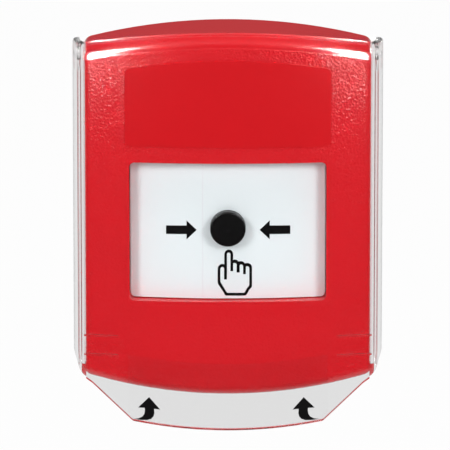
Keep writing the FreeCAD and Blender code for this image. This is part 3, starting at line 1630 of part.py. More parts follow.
def screws():
    """Chassis, board, lock and housing screws, each kind a group of its own."""
    full = ("screw_head_radius", "screw_head_height")
    small = ("small_head_radius", "small_head_height")
    chassis, board, lock, housing = [], [], [], []
    for side in (-1, 1):
        for rise in (-1, 1):
            length = "chassis_thickness + screw_bite - 0.5"
            screw = slotted_screw("chassis_screw", "screw_radius", length, *full)
            depth = f"{CHASSIS_FRONT} + screw_head_height"
            up = f"{WINDOW_MID} + {rise} * post_rise"
            chassis.append(place(screw, f"{side} * post_offset", depth, up, FACES_USER))
        for up in ("board_post_high", "-board_post_low"):
            length = "screw_bite - 0.3"
            screw = slotted_screw("board_screw", "small_screw_radius", length, *small)
            depth = "board_back - small_head_height"
            board.append(place(screw, f"{side} * board_post_offset", depth, up, FACES_WALL))
        length = "lock_seat + lock_back - plate_floor / 2"
        screw = slotted_screw("lock_screw", "small_screw_radius", length, *small)
        depth = "lock_back + lock_seat + small_head_height"
        lock.append(place(screw, LOCK_SCREW_ACROSS[side], depth, LOCK_SCREW_UP, FACES_USER))
        length = f"{LUG_FOOT} + screw_bite - 0.4 - {SCREW_SEAT}"
        screw = slotted_screw("housing_screw", "screw_radius", length, *full)
        up = f"{SCREW_SEAT} - screw_head_height"
        housing.append(place(screw, f"{side} * lug_offset", LUG_SCREW_DEPTH, up, FACES_DOWN))
    keep(group("chassis_screws", chassis), "chassis_screws")
    keep(group("board_screws", board), "board_screws")
    keep(group("lock_screws", lock), "lock_screws")
    keep(group("housing_screws", housing), "housing_screws")


front_housing()
label_panel()
back_plate()
mechanism_chassis()
press_plate()
push_disc()
return_spring()
microswitch()
circuit_board()
status_flag()
reset_lock()
screws()
hinge_pins()
lift_cover()
doc.recompute()

failed = [o.Name for o in doc.Objects if {"Invalid", "Error"} & set(o.State)]
failed += [n.Label for n in nodes if n.Shape.isNull() or not n.Shape.isValid()]
if failed:
    raise SystemExit(f"failed objects: {failed}")
os.makedirs("parts", exist_ok=True)
for node in nodes:
    node.Shape.exportStep(f"parts/{node.Label}.step")
    print(node.Label, len(node.Shape.Solids), round(node.Shape.Volume, 1))
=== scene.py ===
"""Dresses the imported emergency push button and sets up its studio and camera.

The pieces' sizes are millimetres in the part's own frame: X to the right, +Y into the wall
and Z up. They become metres where a mesh is made. A finish gives its places in millimetres,
the depth of its relief in metres and its patterns in waves per metre. The studio is in metres.
"""
import logging
import math
from dataclasses import dataclass, field
from enum import Enum
from typing import Any, Callable, Optional, Union

import bpy
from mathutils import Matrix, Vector


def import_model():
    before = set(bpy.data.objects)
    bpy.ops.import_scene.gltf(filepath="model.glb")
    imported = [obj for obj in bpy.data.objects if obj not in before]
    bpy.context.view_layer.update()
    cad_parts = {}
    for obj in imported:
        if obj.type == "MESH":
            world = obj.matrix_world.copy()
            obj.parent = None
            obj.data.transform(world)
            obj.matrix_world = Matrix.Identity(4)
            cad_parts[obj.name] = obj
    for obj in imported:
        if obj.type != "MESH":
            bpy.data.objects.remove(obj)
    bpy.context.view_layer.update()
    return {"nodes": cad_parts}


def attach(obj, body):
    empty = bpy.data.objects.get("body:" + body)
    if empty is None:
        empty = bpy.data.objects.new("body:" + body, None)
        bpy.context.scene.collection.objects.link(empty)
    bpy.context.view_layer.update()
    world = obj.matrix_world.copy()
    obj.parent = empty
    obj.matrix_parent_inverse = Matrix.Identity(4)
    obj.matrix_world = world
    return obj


LOG = logging.getLogger("push_button")
MM = 0.001

WHITE = (1.0, 1.0, 1.0, 1.0)
MIX_COLOUR_INPUTS = (6, 7)
MIX_COLOUR_OUTPUT = 2
LONGEST_LIGHT_PATH = 28
MOST_PASSES = 24

Colour = tuple[float, float, float]
Point = tuple[float, float]
Span = tuple[float, float]


class Side(Enum):
    """Left or right of the middle, as the sign of X."""

    LEFT = -1
    RIGHT = 1


class Ray(Enum):
    """Kinds of light ray that a shader can tell apart."""

    CAMERA = "Is Camera Ray"
    SHADOW = "Is Shadow Ray"
    DIFFUSE = "Is Diffuse Ray"
    GLOSSY = "Is Glossy Ray"
    TRANSMISSION = "Is Transmission Ray"


class Value:
    """A socket of a node tree that Python's operators combine through Math nodes."""

    def __init__(self, sheet: "NodeSheet", socket: bpy.types.NodeSocket) -> None:
        """Wraps one output.

        Args:
            sheet: The node tree that the socket belongs to.
            socket: The output to wrap.
        """
        self.sheet = sheet
        self.socket = socket

    def combine(self, operation: str, *others: Union["Value", float]) -> "Value":
        """Adds one Math node with this value as its first input.

        Args:
            operation: The Math node's operation.
            *others: The node's further inputs.

        Returns:
            The node's result.
        """
        inputs = dict(enumerate((self, *others)))
        made = self.sheet.node("ShaderNodeMath", {"operation": operation}, inputs)
        return Value(self.sheet, made.outputs[0])

    def reflected(self, operation: str, other: float) -> "Value":
        """Adds one Math node with a plain number as its first input.

        Args:
            operation: The Math node's operation.
            other: The number.

        Returns:
            The node's result.
        """
        inputs = {0: other, 1: self}
        made = self.sheet.node("ShaderNodeMath", {"operation": operation}, inputs)
        return Value(self.sheet, made.outputs[0])

    def __add__(self, other: Union["Value", float]) -> "Value":
        """Sum."""
        return self.combine("ADD", other)

    def __radd__(self, other: float) -> "Value":
        """Sum with the number first."""
        return self.reflected("ADD", other)

    def __sub__(self, other: Union["Value", float]) -> "Value":
        """Difference."""
        return self.combine("SUBTRACT", other)

    def __rsub__(self, other: float) -> "Value":
        """Difference with the number first."""
        return self.reflected("SUBTRACT", other)

    def __mul__(self, other: Union["Value", float]) -> "Value":
        """Product."""
        return self.combine("MULTIPLY", other)

    def __rmul__(self, other: float) -> "Value":
        """Product with the number first."""
        return self.reflected("MULTIPLY", other)

    def __abs__(self) -> "Value":
        """Size without its sign."""
        return self.combine("ABSOLUTE")

    def above(self, limit: float) -> "Value":
        """One where the value is over a limit, else nought."""
        return self.combine("GREATER_THAN", limit)

    def larger(self, other: "Value") -> "Value":
        """The larger of this value and another."""
        return self.combine("MAXIMUM", other)

    def within(self, centre: float, half: float) -> "Value":
        """One where the value lies within a band, else nought.

        Args:
            centre: Middle of the band.
            half: Half of the band's width.

        Returns:
            The band as a mask.
        """
        return abs(self - centre).combine("LESS_THAN", half)

    def ease(self, low: float, high: float) -> "Value":
        """Goes smoothly from nought to one.

        Args:
            low: Where it leaves nought.
            high: Where it reaches one.

        Returns:
            The smooth step.
        """
        made = self.sheet.node(
            "ShaderNodeMapRange",
            {"interpolation_type": "SMOOTHSTEP"},
            {"Value": self, "From Min": low, "From Max": high},
        )
        return Value(self.sheet, made.outputs[0])

    def wave(self) -> "Value":
        """Sine of the value."""
        return self.combine("SINE")


@dataclass
class NodeSheet:
    """A material's or world's node tree, with short ways to add nodes."""

    tree: bpy.types.NodeTree

    def node(
        self,
        kind: str,
        settings: Optional[dict[str, Any]] = None,
        inputs: Optional[dict[Union[str, int], Any]] = None,
    ) -> bpy.types.Node:
        """Adds one node.

        Args:
            kind: The node's type.
            settings: Attributes to set first.
            inputs: Values, sockets or numbers for its inputs.

        Returns:
            The new node.
        """
        made = self.tree.nodes.new(kind)
        for name, setting in (settings or {}).items():
            setattr(made, name, setting)
        for name, given in (inputs or {}).items():
            if isinstance(given, Value):
                given = given.socket
            if isinstance(given, bpy.types.NodeSocket):
                self.tree.links.new(given, made.inputs[name])
            else:
                made.inputs[name].default_value = given
        return made

    def place(self) -> tuple[bpy.types.NodeSocket, list[Value]]:
        """Reads the object coordinates, in metres.

        Returns:
            The coordinates as a vector's socket and as three values.
        """
        spot = self.node("ShaderNodeTexCoord").outputs["Object"]
        split = self.node("ShaderNodeSeparateXYZ", inputs={0: spot})
        return spot, [Value(self, output) for output in split.outputs]

    def light_path(self, output: str) -> Value:
        """One output of the Light Path node."""
        return Value(self, self.node("ShaderNodeLightPath").outputs[output])

    def ray(self, kind: Ray) -> Value:
        """One for light rays of a kind, else nought."""
        return self.light_path(kind.value)

    def panes(self) -> Value:
        """How many clear surfaces the light has passed through."""
        return self.light_path("Transmission Depth")

    def straight(self) -> Value:
        """One for light that was never mirrored on its way, else nought."""
        return 1.0 - self.light_path("Glossy Depth").above(0.5)

    def noise(self, spot: Any, scale: float, detail: float = 2.0, stretch: Any = None) -> Value:
        """Adds a noise pattern.

        Args:
            spot: The coordinates it reads.
            scale: Waves per metre.
            detail: Number of finer octaves.
            stretch: Scale of the coordinates along each axis, where they differ.

        Returns:
            The pattern, about one half on average.
        """
        if stretch:
            mapped = self.node("ShaderNodeMapping", inputs={"Vector": spot, "Scale": stretch})
            spot = mapped.outputs[0]
        made = self.node(
            "ShaderNodeTexNoise", inputs={"Vector": spot, "Scale": scale, "Detail": detail}
        )
        return Value(self, made.outputs[0])

    def cells(self, spot: Any, scale: float) -> Value:
        """Distance to the nearest of scattered points, as a moulded grain has them."""
        made = self.node("ShaderNodeTexVoronoi", inputs={"Vector": spot, "Scale": scale})
        return Value(self, made.outputs["Distance"])

    def blend(self, factor: Any, first: Any, second: Any) -> bpy.types.NodeSocket:
        """Colour between two others.

        Args:
            factor: Nought for the first colour and one for the second.
            first: A colour or a socket.
            second: A colour or a socket.

        Returns:
            The mixed colour's socket.
        """
        low, high = MIX_COLOUR_INPUTS
        inputs = {0: factor, low: opaque(first), high: opaque(second)}
        made = self.node("ShaderNodeMix", {"data_type": "RGBA"}, inputs)
        return made.outputs[MIX_COLOUR_OUTPUT]

    def relief(self, height: Value, strength: float, depth: float) -> bpy.types.NodeSocket:
        """Normal of a fine relief.

        Args:
            height: The relief's pattern.
            strength: How much of it shows.
            depth: Its depth in metres.

        Returns:
            The normal's socket.
        """
        inputs = {"Height": height, "Strength": strength, "Distance": depth}
        return self.node("ShaderNodeBump", inputs=inputs).outputs[0]

    def surface(self, inputs: dict[Union[str, int], Any]) -> bpy.types.NodeSocket:
        """Adds a Principled shader and returns its output."""
        return self.node("ShaderNodeBsdfPrincipled", inputs=inputs).outputs[0]

    def choice(self, factor: Value, first: Any, second: Any) -> bpy.types.NodeSocket:
        """Shader between two others, the first where the factor is nought."""
        return self.node("ShaderNodeMixShader", inputs={0: factor, 1: first, 2: second}).outputs[0]


def opaque(colour: Any) -> Any:
    """A plain colour with full alpha, or the socket as it is."""
    return (*colour, 1.0) if isinstance(colour, tuple) and len(colour) == 3 else colour


def dimmed(colour: Colour, share: float) -> Colour:
    """A darker tone of a colour."""
    return tuple(part * share for part in colour)


def bow(radius: float, across: float) -> float:
    """How far an arc has curved away at a distance from its middle."""
    return radius - math.sqrt(radius**2 - across**2)


def new_material(name: str) -> tuple[bpy.types.Material, NodeSheet]:
    """Makes an empty material.

    Args:
        name: Name of the material.

    Returns:
        The material and its node tree.
    """
    material = bpy.data.materials.new(name)
    material.use_nodes = True
    material.node_tree.nodes.clear()
    return material, NodeSheet(material.node_tree)


def finish_with(sheet: NodeSheet, shader: bpy.types.NodeSocket) -> None:
    """Links a shader to the material's output."""
    sheet.node("ShaderNodeOutputMaterial", inputs={"Surface": shader})


@dataclass(frozen=True)
class MouldedPlastic:
    """Coloured plastic with a moulded or spark-eroded grain."""

    name: str
    colour: Colour
    roughness: float = 0.4
    grain: float = 1400.0
    depth: float = 0.00001
    strength: float = 0.35
    mottling: float = 0.05
    specular: float = 0.4
    cloud: float = 60.0
    gloss_spread: float = 0.12

    def make(self) -> bpy.types.Material:
        """Builds the material: faint mottling, uneven gloss and the grain as relief.

        Returns:
            The finished material.
        """
        material, sheet = new_material(self.name)
        spot, _ = sheet.place()
        broad = sheet.noise(spot, self.cloud)
        fine = sheet.noise(spot, self.grain, detail=3.0)
        darker = dimmed(self.colour, 1 - 2 * self.mottling)
        shader = sheet.surface(
            {
                "Base Color": sheet.blend(broad, darker, self.colour),
                "Roughness": self.roughness - self.gloss_spread / 2 + self.gloss_spread * fine,
                "Normal": sheet.relief(fine, self.strength, self.depth),
                "Specular IOR Level": self.specular,
            }
        )
        finish_with(sheet, shader)
        return material


@dataclass(frozen=True)
class GrainedHousing:
    """Red housing plastic: a coarse pebbled grain that ends at the smooth top rounding."""

    name: str = "red_grained_plastic"
    colour: Colour = (0.625, 0.0045, 0.0105)
    roughness: float = 0.20
    grain: float = 1150.0
    depth: float = 0.00020
    strength: float = 0.9
    grain_top: float = 57.5
    grain_end: float = 0.6
    arch_radius: float = 245.0
    finer: float = 1.7
    pebble_height: float = 0.7
    fine_height: float = 0.5
    cloud: float = 45.0
    shade: float = 0.94
    gloss_spread: float = 0.08
    specular: float = 0.7

    def make(self) -> bpy.types.Material:
        """Builds the material: pebbles of two sizes over a nearly even red.

        Returns:
            The finished material.
        """
        material, sheet = new_material(self.name)
        spot, (across, _, up) = sheet.place()
        level = up + across * across * (1 / (2 * self.arch_radius * MM))
        grained = 1.0 - level.ease(self.grain_top * MM, (self.grain_top + self.grain_end) * MM)
        pebbles = sheet.cells(spot, self.grain)
        broad = sheet.noise(spot, self.cloud)
        fine = sheet.noise(spot, self.grain * self.finer)
        height = (pebbles * self.pebble_height + fine * self.fine_height) * grained
        darker = dimmed(self.colour, self.shade)
        shader = sheet.surface(
            {
                "Base Color": sheet.blend(broad, darker, self.colour),
                "Roughness": self.roughness + self.gloss_spread * fine,
                "Normal": sheet.relief(height, self.strength, self.depth),
                "Specular IOR Level": self.specular,
            }
        )
        finish_with(sheet, shader)
        return material


@dataclass(frozen=True)
class PressPlateFinish:
    """White satin plastic, with a hair line beside the disc where two halves of it meet."""

    name: str = "white_satin_plastic"
    colour: Colour = (0.755, 0.815, 0.835)
    line: Colour = (0.70, 0.70, 0.74)
    line_place: float = -8.45
    line_half: float = 0.09
    line_depth: float = 22.5
    roughness: float = 0.34
    gloss_spread: float = 0.08
    grain: float = 2600.0
    depth: float = 0.00001
    strength: float = 0.12
    cloud: float = 70.0
    shade: float = 0.975
    specular: float = 0.25

    def make(self) -> bpy.types.Material:
        """Builds the material: faint mottling, the hair line and a very fine grain.

        Returns:
            The finished material.
        """
        material, sheet = new_material(self.name)
        spot, (across, back, _) = sheet.place()
        broad = sheet.noise(spot, self.cloud)
        fine = sheet.noise(spot, self.grain)
        hair = across.within(self.line_place * MM, self.line_half * MM)
        front = (back * -1.0).above(self.line_depth * MM)
        ground = sheet.blend(broad, dimmed(self.colour, self.shade), self.colour)
        shader = sheet.surface(
            {
                "Base Color": sheet.blend(hair * front, ground, self.line),
                "Roughness": self.roughness + self.gloss_spread * fine,
                "Normal": sheet.relief(fine, self.strength, self.depth),
                "Specular IOR Level": self.specular,
            }
        )
        finish_with(sheet, shader)
        return material


@dataclass(frozen=True)
class ClearPlastic:
    """Clear polished plastic that lets the lamps through to what it covers."""

    name: str
    tint: Colour = (0.985, 0.985, 0.985)
    roughness: float = 0.0
    ior: float = 1.49
    shadow_tint: Colour = (0.96, 0.96, 0.96)
    swell: float = 35.0
    swell_depth: float = 0.00002
    swell_strength: float = 0.1

    def make(self) -> bpy.types.Material:
        """Builds the material: a refracting shader that shadow and diffuse rays pass by.

        Returns:
            The finished material.
        """
        material, sheet = new_material(self.name)
        spot, _ = sheet.place()
        swell = sheet.noise(spot, self.swell, detail=1.0)
        glass = sheet.surface(
            {
                "Base Color": opaque(self.tint),
                "Roughness": self.roughness,
                "IOR": self.ior,
                "Transmission Weight": 1.0,
                "Normal": sheet.relief(swell, self.swell_strength, self.swell_depth),
            }
        )
        through = sheet.node("ShaderNodeBsdfTransparent", inputs={0: opaque(self.shadow_tint)})
        passing = sheet.ray(Ray.SHADOW).larger(sheet.ray(Ray.DIFFUSE))
        finish_with(sheet, sheet.choice(passing, glass, through.outputs[0]))
        return material


@dataclass(frozen=True)
class WorkedMetal:
    """Bare metal with the fine marks of drawing, turning or plating."""

    name: str
    colour: Colour
    roughness: float = 0.32
    marks: float = 900.0
    stretch: tuple[float, float, float] = (1.0, 6.0, 1.0)
    gloss_spread: float = 0.16
    depth: float = 0.00001
    strength: float = 0.3
    cloud: float = 250.0
    shade: float = 0.8

    def make(self) -> bpy.types.Material:
        """Builds the material: stretched marks in its gloss and relief.

        Returns:
            The finished material.
        """
        material, sheet = new_material(self.name)
        spot, _ = sheet.place()
        marks = sheet.noise(spot, self.marks, detail=3.0, stretch=self.stretch)
        cloud = sheet.noise(spot, self.cloud)
        darker = dimmed(self.colour, self.shade)
        shader = sheet.surface(
            {
                "Base Color": sheet.blend(cloud, darker, self.colour),
                "Metallic": 1.0,
                "Roughness": self.roughness - self.gloss_spread / 2 + self.gloss_spread * marks,
                "Normal": sheet.relief(marks, self.strength, self.depth),
            }
        )
        finish_with(sheet, shader)
        return material


@dataclass(frozen=True)
class BoardLaminate:
    """Green solder mask over copper tracks, seen as slightly lighter upright lines.

    The two drifts are metres, and an edge is the height of a wave above which it counts.
    """

    name: str = "green_board"
    mask: Colour = (0.012, 0.105, 0.035)
    track: Colour = (0.030, 0.190, 0.060)
    drift: float = 90.0
    band_drift: float = 0.004
    band_waves: float = 2400.0
    band_edge: float = 0.55
    gap_drift: float = 0.006
    gap_waves: float = 420.0
    gap_edge: float = -0.4
    roughness: float = 0.30
    gloss_spread: float = 0.15
    depth: float = 0.00003
    strength: float = 0.5

    def make(self) -> bpy.types.Material:
        """Builds the material: tracks as bands that a slow noise breaks up.

        Returns:
            The finished material.
        """
        material, sheet = new_material(self.name)
        spot, (across, _, up) = sheet.place()
        drift = sheet.noise(spot, self.drift, detail=0.0)
        bands = ((across + drift * self.band_drift) * self.band_waves).wave().above(self.band_edge)
        gaps = ((up + drift * self.gap_drift) * self.gap_waves).wave().above(self.gap_edge)
        tracks = bands * gaps
        shader = sheet.surface(
            {
                "Base Color": sheet.blend(tracks, self.mask, self.track),
                "Roughness": self.roughness + self.gloss_spread * drift,
                "Normal": sheet.relief(tracks, self.strength, self.depth),
            }
        )
        finish_with(sheet, shader)
        return material


@dataclass(frozen=True)
class StripedFlag:
    """Yellow flag with slanted black warning stripes on its front."""

    name: str = "striped_flag"
    colour: Colour = (0.78, 0.50, 0.01)
    stripe: Colour = (0.012, 0.012, 0.012)
    stripe_pitch: float = 10.0
    stripe_depth: float = 24.8
    roughness: float = 0.35
    gloss_spread: float = 0.1
    grain: float = 1500.0
    depth: float = 0.00001
    strength: float = 0.2

    def make(self) -> bpy.types.Material:
        """Builds the material: slanted stripes over a faintly grained yellow.

        Returns:
            The finished material.
        """
        material, sheet = new_material(self.name)
        spot, (across, back, up) = sheet.place()
        fine = sheet.noise(spot, self.grain)
        slant = ((across + up) * (2 * math.pi / (self.stripe_pitch * MM))).wave().above(0.0)
        front = (back * -1.0).above(self.stripe_depth * MM)
        shader = sheet.surface(
            {
                "Base Color": sheet.blend(slant * front, self.colour, self.stripe),
                "Roughness": self.roughness + self.gloss_spread * fine,
                "Normal": sheet.relief(fine, self.strength, self.depth),
            }
        )
        finish_with(sheet, shader)
        return material


Finish = Union[
    MouldedPlastic,
    GrainedHousing,
    PressPlateFinish,
    ClearPlastic,
    WorkedMetal,
    BoardLaminate,
    StripedFlag,
]

RED_HOUSING = GrainedHousing()
RED_LABEL = MouldedPlastic(
    "red_smooth_film",
    (0.555, 0.0055, 0.0098),
    roughness=0.45,
    grain=2600.0,
    depth=0.000004,
    strength=0.1,
    mottling=0.02,
    specular=0.08,
)
WHITE_PLATE = PressPlateFinish()
BLACK_DISC = MouldedPlastic(
    "black_satin_plastic",
    (0.0040, 0.0038, 0.0040),
    roughness=0.30,
    grain=1800.0,
    strength=0.15,
    mottling=0.1,
    specular=0.15,
)
COVER_CLEAR = ClearPlastic("clear_cover_plastic")
FILM_CLEAR = ClearPlastic("clear_film", roughness=0.05, ior=1.45)
INK = MouldedPlastic(
    "black_print_ink",
    (0.0045, 0.0042, 0.0045),
    roughness=0.55,
    grain=2500.0,
    depth=0.000004,
    strength=0.1,
    mottling=0.15,
    specular=0.03,
)
BACK_PLATE = MouldedPlastic(
    "dark_matt_plastic",
    (0.028, 0.028, 0.031),
    roughness=0.55,
    grain=1300.0,
    depth=0.00003,
    strength=0.5,
    mottling=0.08,
)
CHASSIS = MouldedPlastic("light_grey_plastic", (0.52, 0.52, 0.50), roughness=0.45)
SWITCH_CASE = MouldedPlastic("black_switch_plastic", (0.016, 0.016, 0.018), roughness=0.42)
SWITCH_RED = MouldedPlastic("red_plunger_plastic", (0.45, 0.02, 0.015), roughness=0.35)
BLOCK_GREEN = MouldedPlastic("green_block_plastic", (0.035, 0.250, 0.090), roughness=0.38)
RESISTOR_TAN = MouldedPlastic("tan_lacquer", (0.50, 0.35, 0.18), roughness=0.40, grain=3000.0)
LOCK_GREY = MouldedPlastic("grey_lock_plastic", (0.085, 0.085, 0.092), roughness=0.48)
LATCH_WHITE = MouldedPlastic("white_acetal", (0.68, 0.68, 0.65), roughness=0.33)
SPRING_STEEL = WorkedMetal("spring_steel", (0.56, 0.56, 0.57), roughness=0.28)
SCREW_STEEL = WorkedMetal(
    "zinc_plated_steel",
    (0.60, 0.60, 0.62),
    roughness=0.30,
    marks=1600.0,
    stretch=(1.0, 1.0, 1.0),
)
PIN_STEEL = WorkedMetal(
    "ground_steel",
    (0.62, 0.62, 0.62),
    roughness=0.22,
    marks=2000.0,
    stretch=(6.0, 1.0, 1.0),
)
BRASS = WorkedMetal("tinned_brass", (0.68, 0.55, 0.27), roughness=0.33)
BOARD = BoardLaminate()
FLAG = StripedFlag()


@dataclass
class FinishStore:
    """Makes each finish once and hands out its material."""

    made: dict[str, bpy.types.Material] = field(default_factory=dict)

    def material(self, finish: Finish) -> bpy.types.Material:
        """Material of a finish.

        Args:
            finish: The finish to look up or make.

        Returns:
            Its material.
        """
        if finish.name not in self.made:
            self.made[finish.name] = finish.make()
        return self.made[finish.name]

    def dress(self, piece: bpy.types.Object, finish: Finish) -> None:
        """Gives a piece one finish all over."""
        piece.data.materials.clear()
        piece.data.materials.append(self.material(finish))


def only_select(piece: bpy.types.Object) -> None:
    """Deselects everything, then selects one object and makes it active.

    Args:
        piece: The object to select.
    """
    bpy.ops.object.select_all(action="DESELECT")
    piece.select_set(True)
    bpy.context.view_layer.objects.active = piece


@dataclass
class CoverFront:
    """Front of the clear cover: a bowed panel that flares into a lip at a rounded bend."""

    depth: float = 33.5
    radius: float = 233.5
    bend_height: float = 58.8
    bend_arch_radius: float = 200.0
    bend_round: float = 8.0
    lip_angle: float = 25.0

    def panel(self, across: float) -> float:
        """Y of the panel's outer face at a distance from the middle."""
        return bow(self.radius, across) - self.depth

    def lip(self, across: float, up: float) -> float:
        """Y of the lip's outer face.

        Args:
            across: X of the spot.
            up: Z of the spot.

        Returns:
            The Y.
        """
        slope = math.tan(math.radians(self.lip_angle))
        radius = 1 / (1 / self.radius - slope / self.bend_arch_radius)
        return bow(radius, across) - self.depth - slope * (-self.bend_height - up)

    def face(self, across: float, up: float) -> float:
        """Y of the panel, the lip or the rounding between them.

        Args:
            across: X of the spot.
            up: Z of the spot.

        Returns:
            The Y.
        """
        angle = math.radians(self.lip_angle)
        panel = self.panel(across)
        bend = self.lip(across, 0.0)
        middle = (bend - panel) / -math.tan(angle)
        tangent = self.bend_round * math.tan(angle / 2)
        below = middle + tangent - up
        if below <= 0:
            return panel
        if below >= tangent * (1 + math.cos(angle)):
            return self.lip(across, up)
        return panel - self.bend_round + math.sqrt(self.bend_round**2 - below**2)


@dataclass
class PlateFront:
    """Bowed front of the white press plate."""

    depth: float = 26.0
    radius: float = 160.0

    def face(self, across: float, _: float) -> float:
        """Y of the plate's face at a distance from the middle."""
        return bow(self.radius, across) - self.depth


@dataclass
class FlatFigure:
    """A thin print or film, cut from flat outlines and laid on a bowed face."""

    name: str
    outlines: list[list[Point]]
    thickness: float
    lift: float = 0.0
    step: float = 2.0
    weld: float = 0.0005
    smooth_angle: float = 30.0

    def build(self, face: Callable[[float, float], float]) -> bpy.types.Object:
        """Cuts the figure out, slices it into narrow strips and lays it on the face.

        Args:
            face: Y of the face in millimetres for an X and a Z.

        Returns:
            The finished piece.
        """
        curve = bpy.data.curves.new(self.name, "CURVE")
        curve.dimensions = "2D"
        curve.fill_mode = "BOTH"
        curve.extrude = self.thickness / 2
        for outline in self.outlines:
            spline = curve.splines.new("POLY")
            spline.points.add(len(outline) - 1)
            for point, (across, up) in zip(spline.points, outline):
                point.co = (across, up, 0.0, 1.0)
            spline.use_cyclic_u = True
        piece = bpy.data.objects.new(self.name, curve)
        bpy.context.collection.objects.link(piece)
        only_select(piece)
        bpy.ops.object.convert(target="MESH")
        piece = bpy.context.view_layer.objects.active
        self.slice_up(piece)
        for vertex in piece.data.vertices:
            across, up, layer = vertex.co
            front = self.thickness if layer > 0 else 0.0
            vertex.co = Vector((across, face(across, up) - self.lift - front, up)) * MM
        only_select(piece)
        bpy.ops.object.mode_set(mode="EDIT")
        bpy.ops.mesh.select_all(action="SELECT")
        bpy.ops.mesh.normals_make_consistent(inside=False)
        bpy.ops.object.mode_set(mode="OBJECT")
        bpy.ops.object.shade_smooth_by_angle(angle=math.radians(self.smooth_angle))
        return piece

    def slice_up(self, piece: bpy.types.Object) -> None:
        """Closes the flat solid and bisects it into strips and rows, so that it can bend.

        Args:
            piece: The flat solid.
        """
        flat = [point for outline in self.outlines for point in outline]
        only_select(piece)
        bpy.ops.object.mode_set(mode="EDIT")
        bpy.ops.mesh.select_all(action="SELECT")
        bpy.ops.mesh.remove_doubles(threshold=self.weld)
        for axis, normal in ((0, (1, 0, 0)), (1, (0, 1, 0))):
            low = min(point[axis] for point in flat)
            high = max(point[axis] for point in flat)
            count = max(1, math.ceil((high - low) / self.step))
            for index in range(1, count):
                spot = [0.0, 0.0, 0.0]
                spot[axis] = low + (high - low) * index / count
                bpy.ops.mesh.select_all(action="SELECT")
                bpy.ops.mesh.bisect(plane_co=spot, plane_no=normal)
        bpy.ops.object.mode_set(mode="OBJECT")


def mirrored(outline: list[Point], middle: float) -> list[Point]:
    """Outline turned over about an upright line, still running the same way round."""
    return [(2 * middle - across, up) for across, up in reversed(outline)]


@dataclass
class HousingShell:
    """Red front housing with its smooth label panel."""

    store: FinishStore
    nodes: dict[str, bpy.types.Object]

    def dress(self) -> None:
        """Gives the shell its grain and the label panel its smooth film."""
        self.store.dress(self.nodes["front_housing"], RED_HOUSING)
        self.store.dress(self.nodes["label_panel"], RED_LABEL)


@dataclass
class PressPlate:
    """White plate with its black disc and the printed arrows and pointing hand."""

    store: FinishStore
    nodes: dict[str, bpy.types.Object]
    front: PlateFront = field(default_factory=PlateFront)
    ink_thickness: float = 0.03
    arrow_middle: float = 0.1
    arrow: list[Point] = field(
        default_factory=lambda: [
            (-20.75, -3.85),
            (-20.75, -6.80),
            (-13.85, -6.72),
            (-13.85, -8.50),
            (-10.45, -5.20),
            (-13.85, -1.95),
            (-13.85, -3.72),
        ]
    )
    hand: list[Point] = field(
        default_factory=lambda: [
            (0.28, -11.88), (-0.35, -12.06), (-0.82, -12.46), (-1.12, -13.05), (-1.21, -13.70),
            (-1.21, -17.06), (-1.55, -16.90), (-1.95, -16.84), (-2.50, -17.00), (-3.10, -17.55),
            (-3.38, -18.05), (-3.44, -18.50), (-3.44, -23.20), (-3.30, -23.80), (-1.34, -26.85),
            (-1.12, -27.40), (-0.85, -27.72), (-0.45, -27.86), (5.60, -27.86), (6.08, -27.72),
            (6.45, -27.30), (7.20, -25.85), (7.90, -25.12), (8.13, -24.60), (8.13, -18.10),
            (8.02, -17.55), (7.65, -17.00), (7.10, -16.66), (6.60, -16.54), (6.00, -16.62),
            (5.66, -16.66), (5.30, -16.22), (4.80, -15.94), (4.25, -15.90), (3.70, -16.05),
            (3.52, -15.98), (3.20, -15.60), (2.75, -15.38), (2.25, -15.36), (1.79, -15.50),
            (1.79, -13.62), (1.68, -12.95), (1.36, -12.36), (0.88, -12.00),
        ]
    )
    palm: list[Point] = field(
        default_factory=lambda: [
            (-0.30, -22.25), (-1.26, -22.25), (-1.26, -18.50), (-1.42, -18.10), (-1.75, -17.90),
            (-2.08, -17.95), (-2.42, -18.30), (-2.53, -18.70), (-2.53, -23.05), (-0.42, -26.60),
            (-0.15, -26.86), (5.45, -26.86), (5.72, -26.60), (6.35, -25.35), (6.95, -24.65),
            (7.20, -24.20), (7.20, -18.30), (7.02, -17.90), (6.62, -17.66), (6.22, -17.74),
            (6.04, -18.00), (6.04, -20.45), (5.12, -20.45), (5.12, -17.65), (4.95, -17.25),
            (4.62, -17.06), (4.20, -17.10), (3.99, -17.35), (3.99, -19.85), (2.94, -19.85),
            (2.94, -17.00), (2.75, -16.68), (2.42, -16.52), (2.00, -16.58), (1.79, -16.80),
            (1.79, -19.38), (0.86, -19.38), (0.86, -13.55), (0.74, -13.15), (0.45, -12.95),
            (0.10, -12.95), (-0.20, -13.15), (-0.30, -13.55),
        ]
    )

    def figures(self) -> list[FlatFigure]:
        """The two arrows that point at the disc, and the hand below it."""
        other_arrow = mirrored(self.arrow, self.arrow_middle)
        return [
            FlatFigure("plate_arrow_left", [self.arrow], self.ink_thickness),
            FlatFigure("plate_arrow_right", [other_arrow], self.ink_thickness),
            FlatFigure("plate_pointing_hand", [self.hand, self.palm], self.ink_thickness),
        ]

    def build(self) -> None:
        """Dresses the plate and the disc and lays the prints on the plate."""
        self.store.dress(self.nodes["press_plate"], WHITE_PLATE)
        self.store.dress(self.nodes["push_disc"], BLACK_DISC)
        for figure in self.figures():
            piece = figure.build(self.front.face)
            self.store.dress(piece, INK)
            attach(piece, "plate")
            LOG.info("printed %s", piece.name)


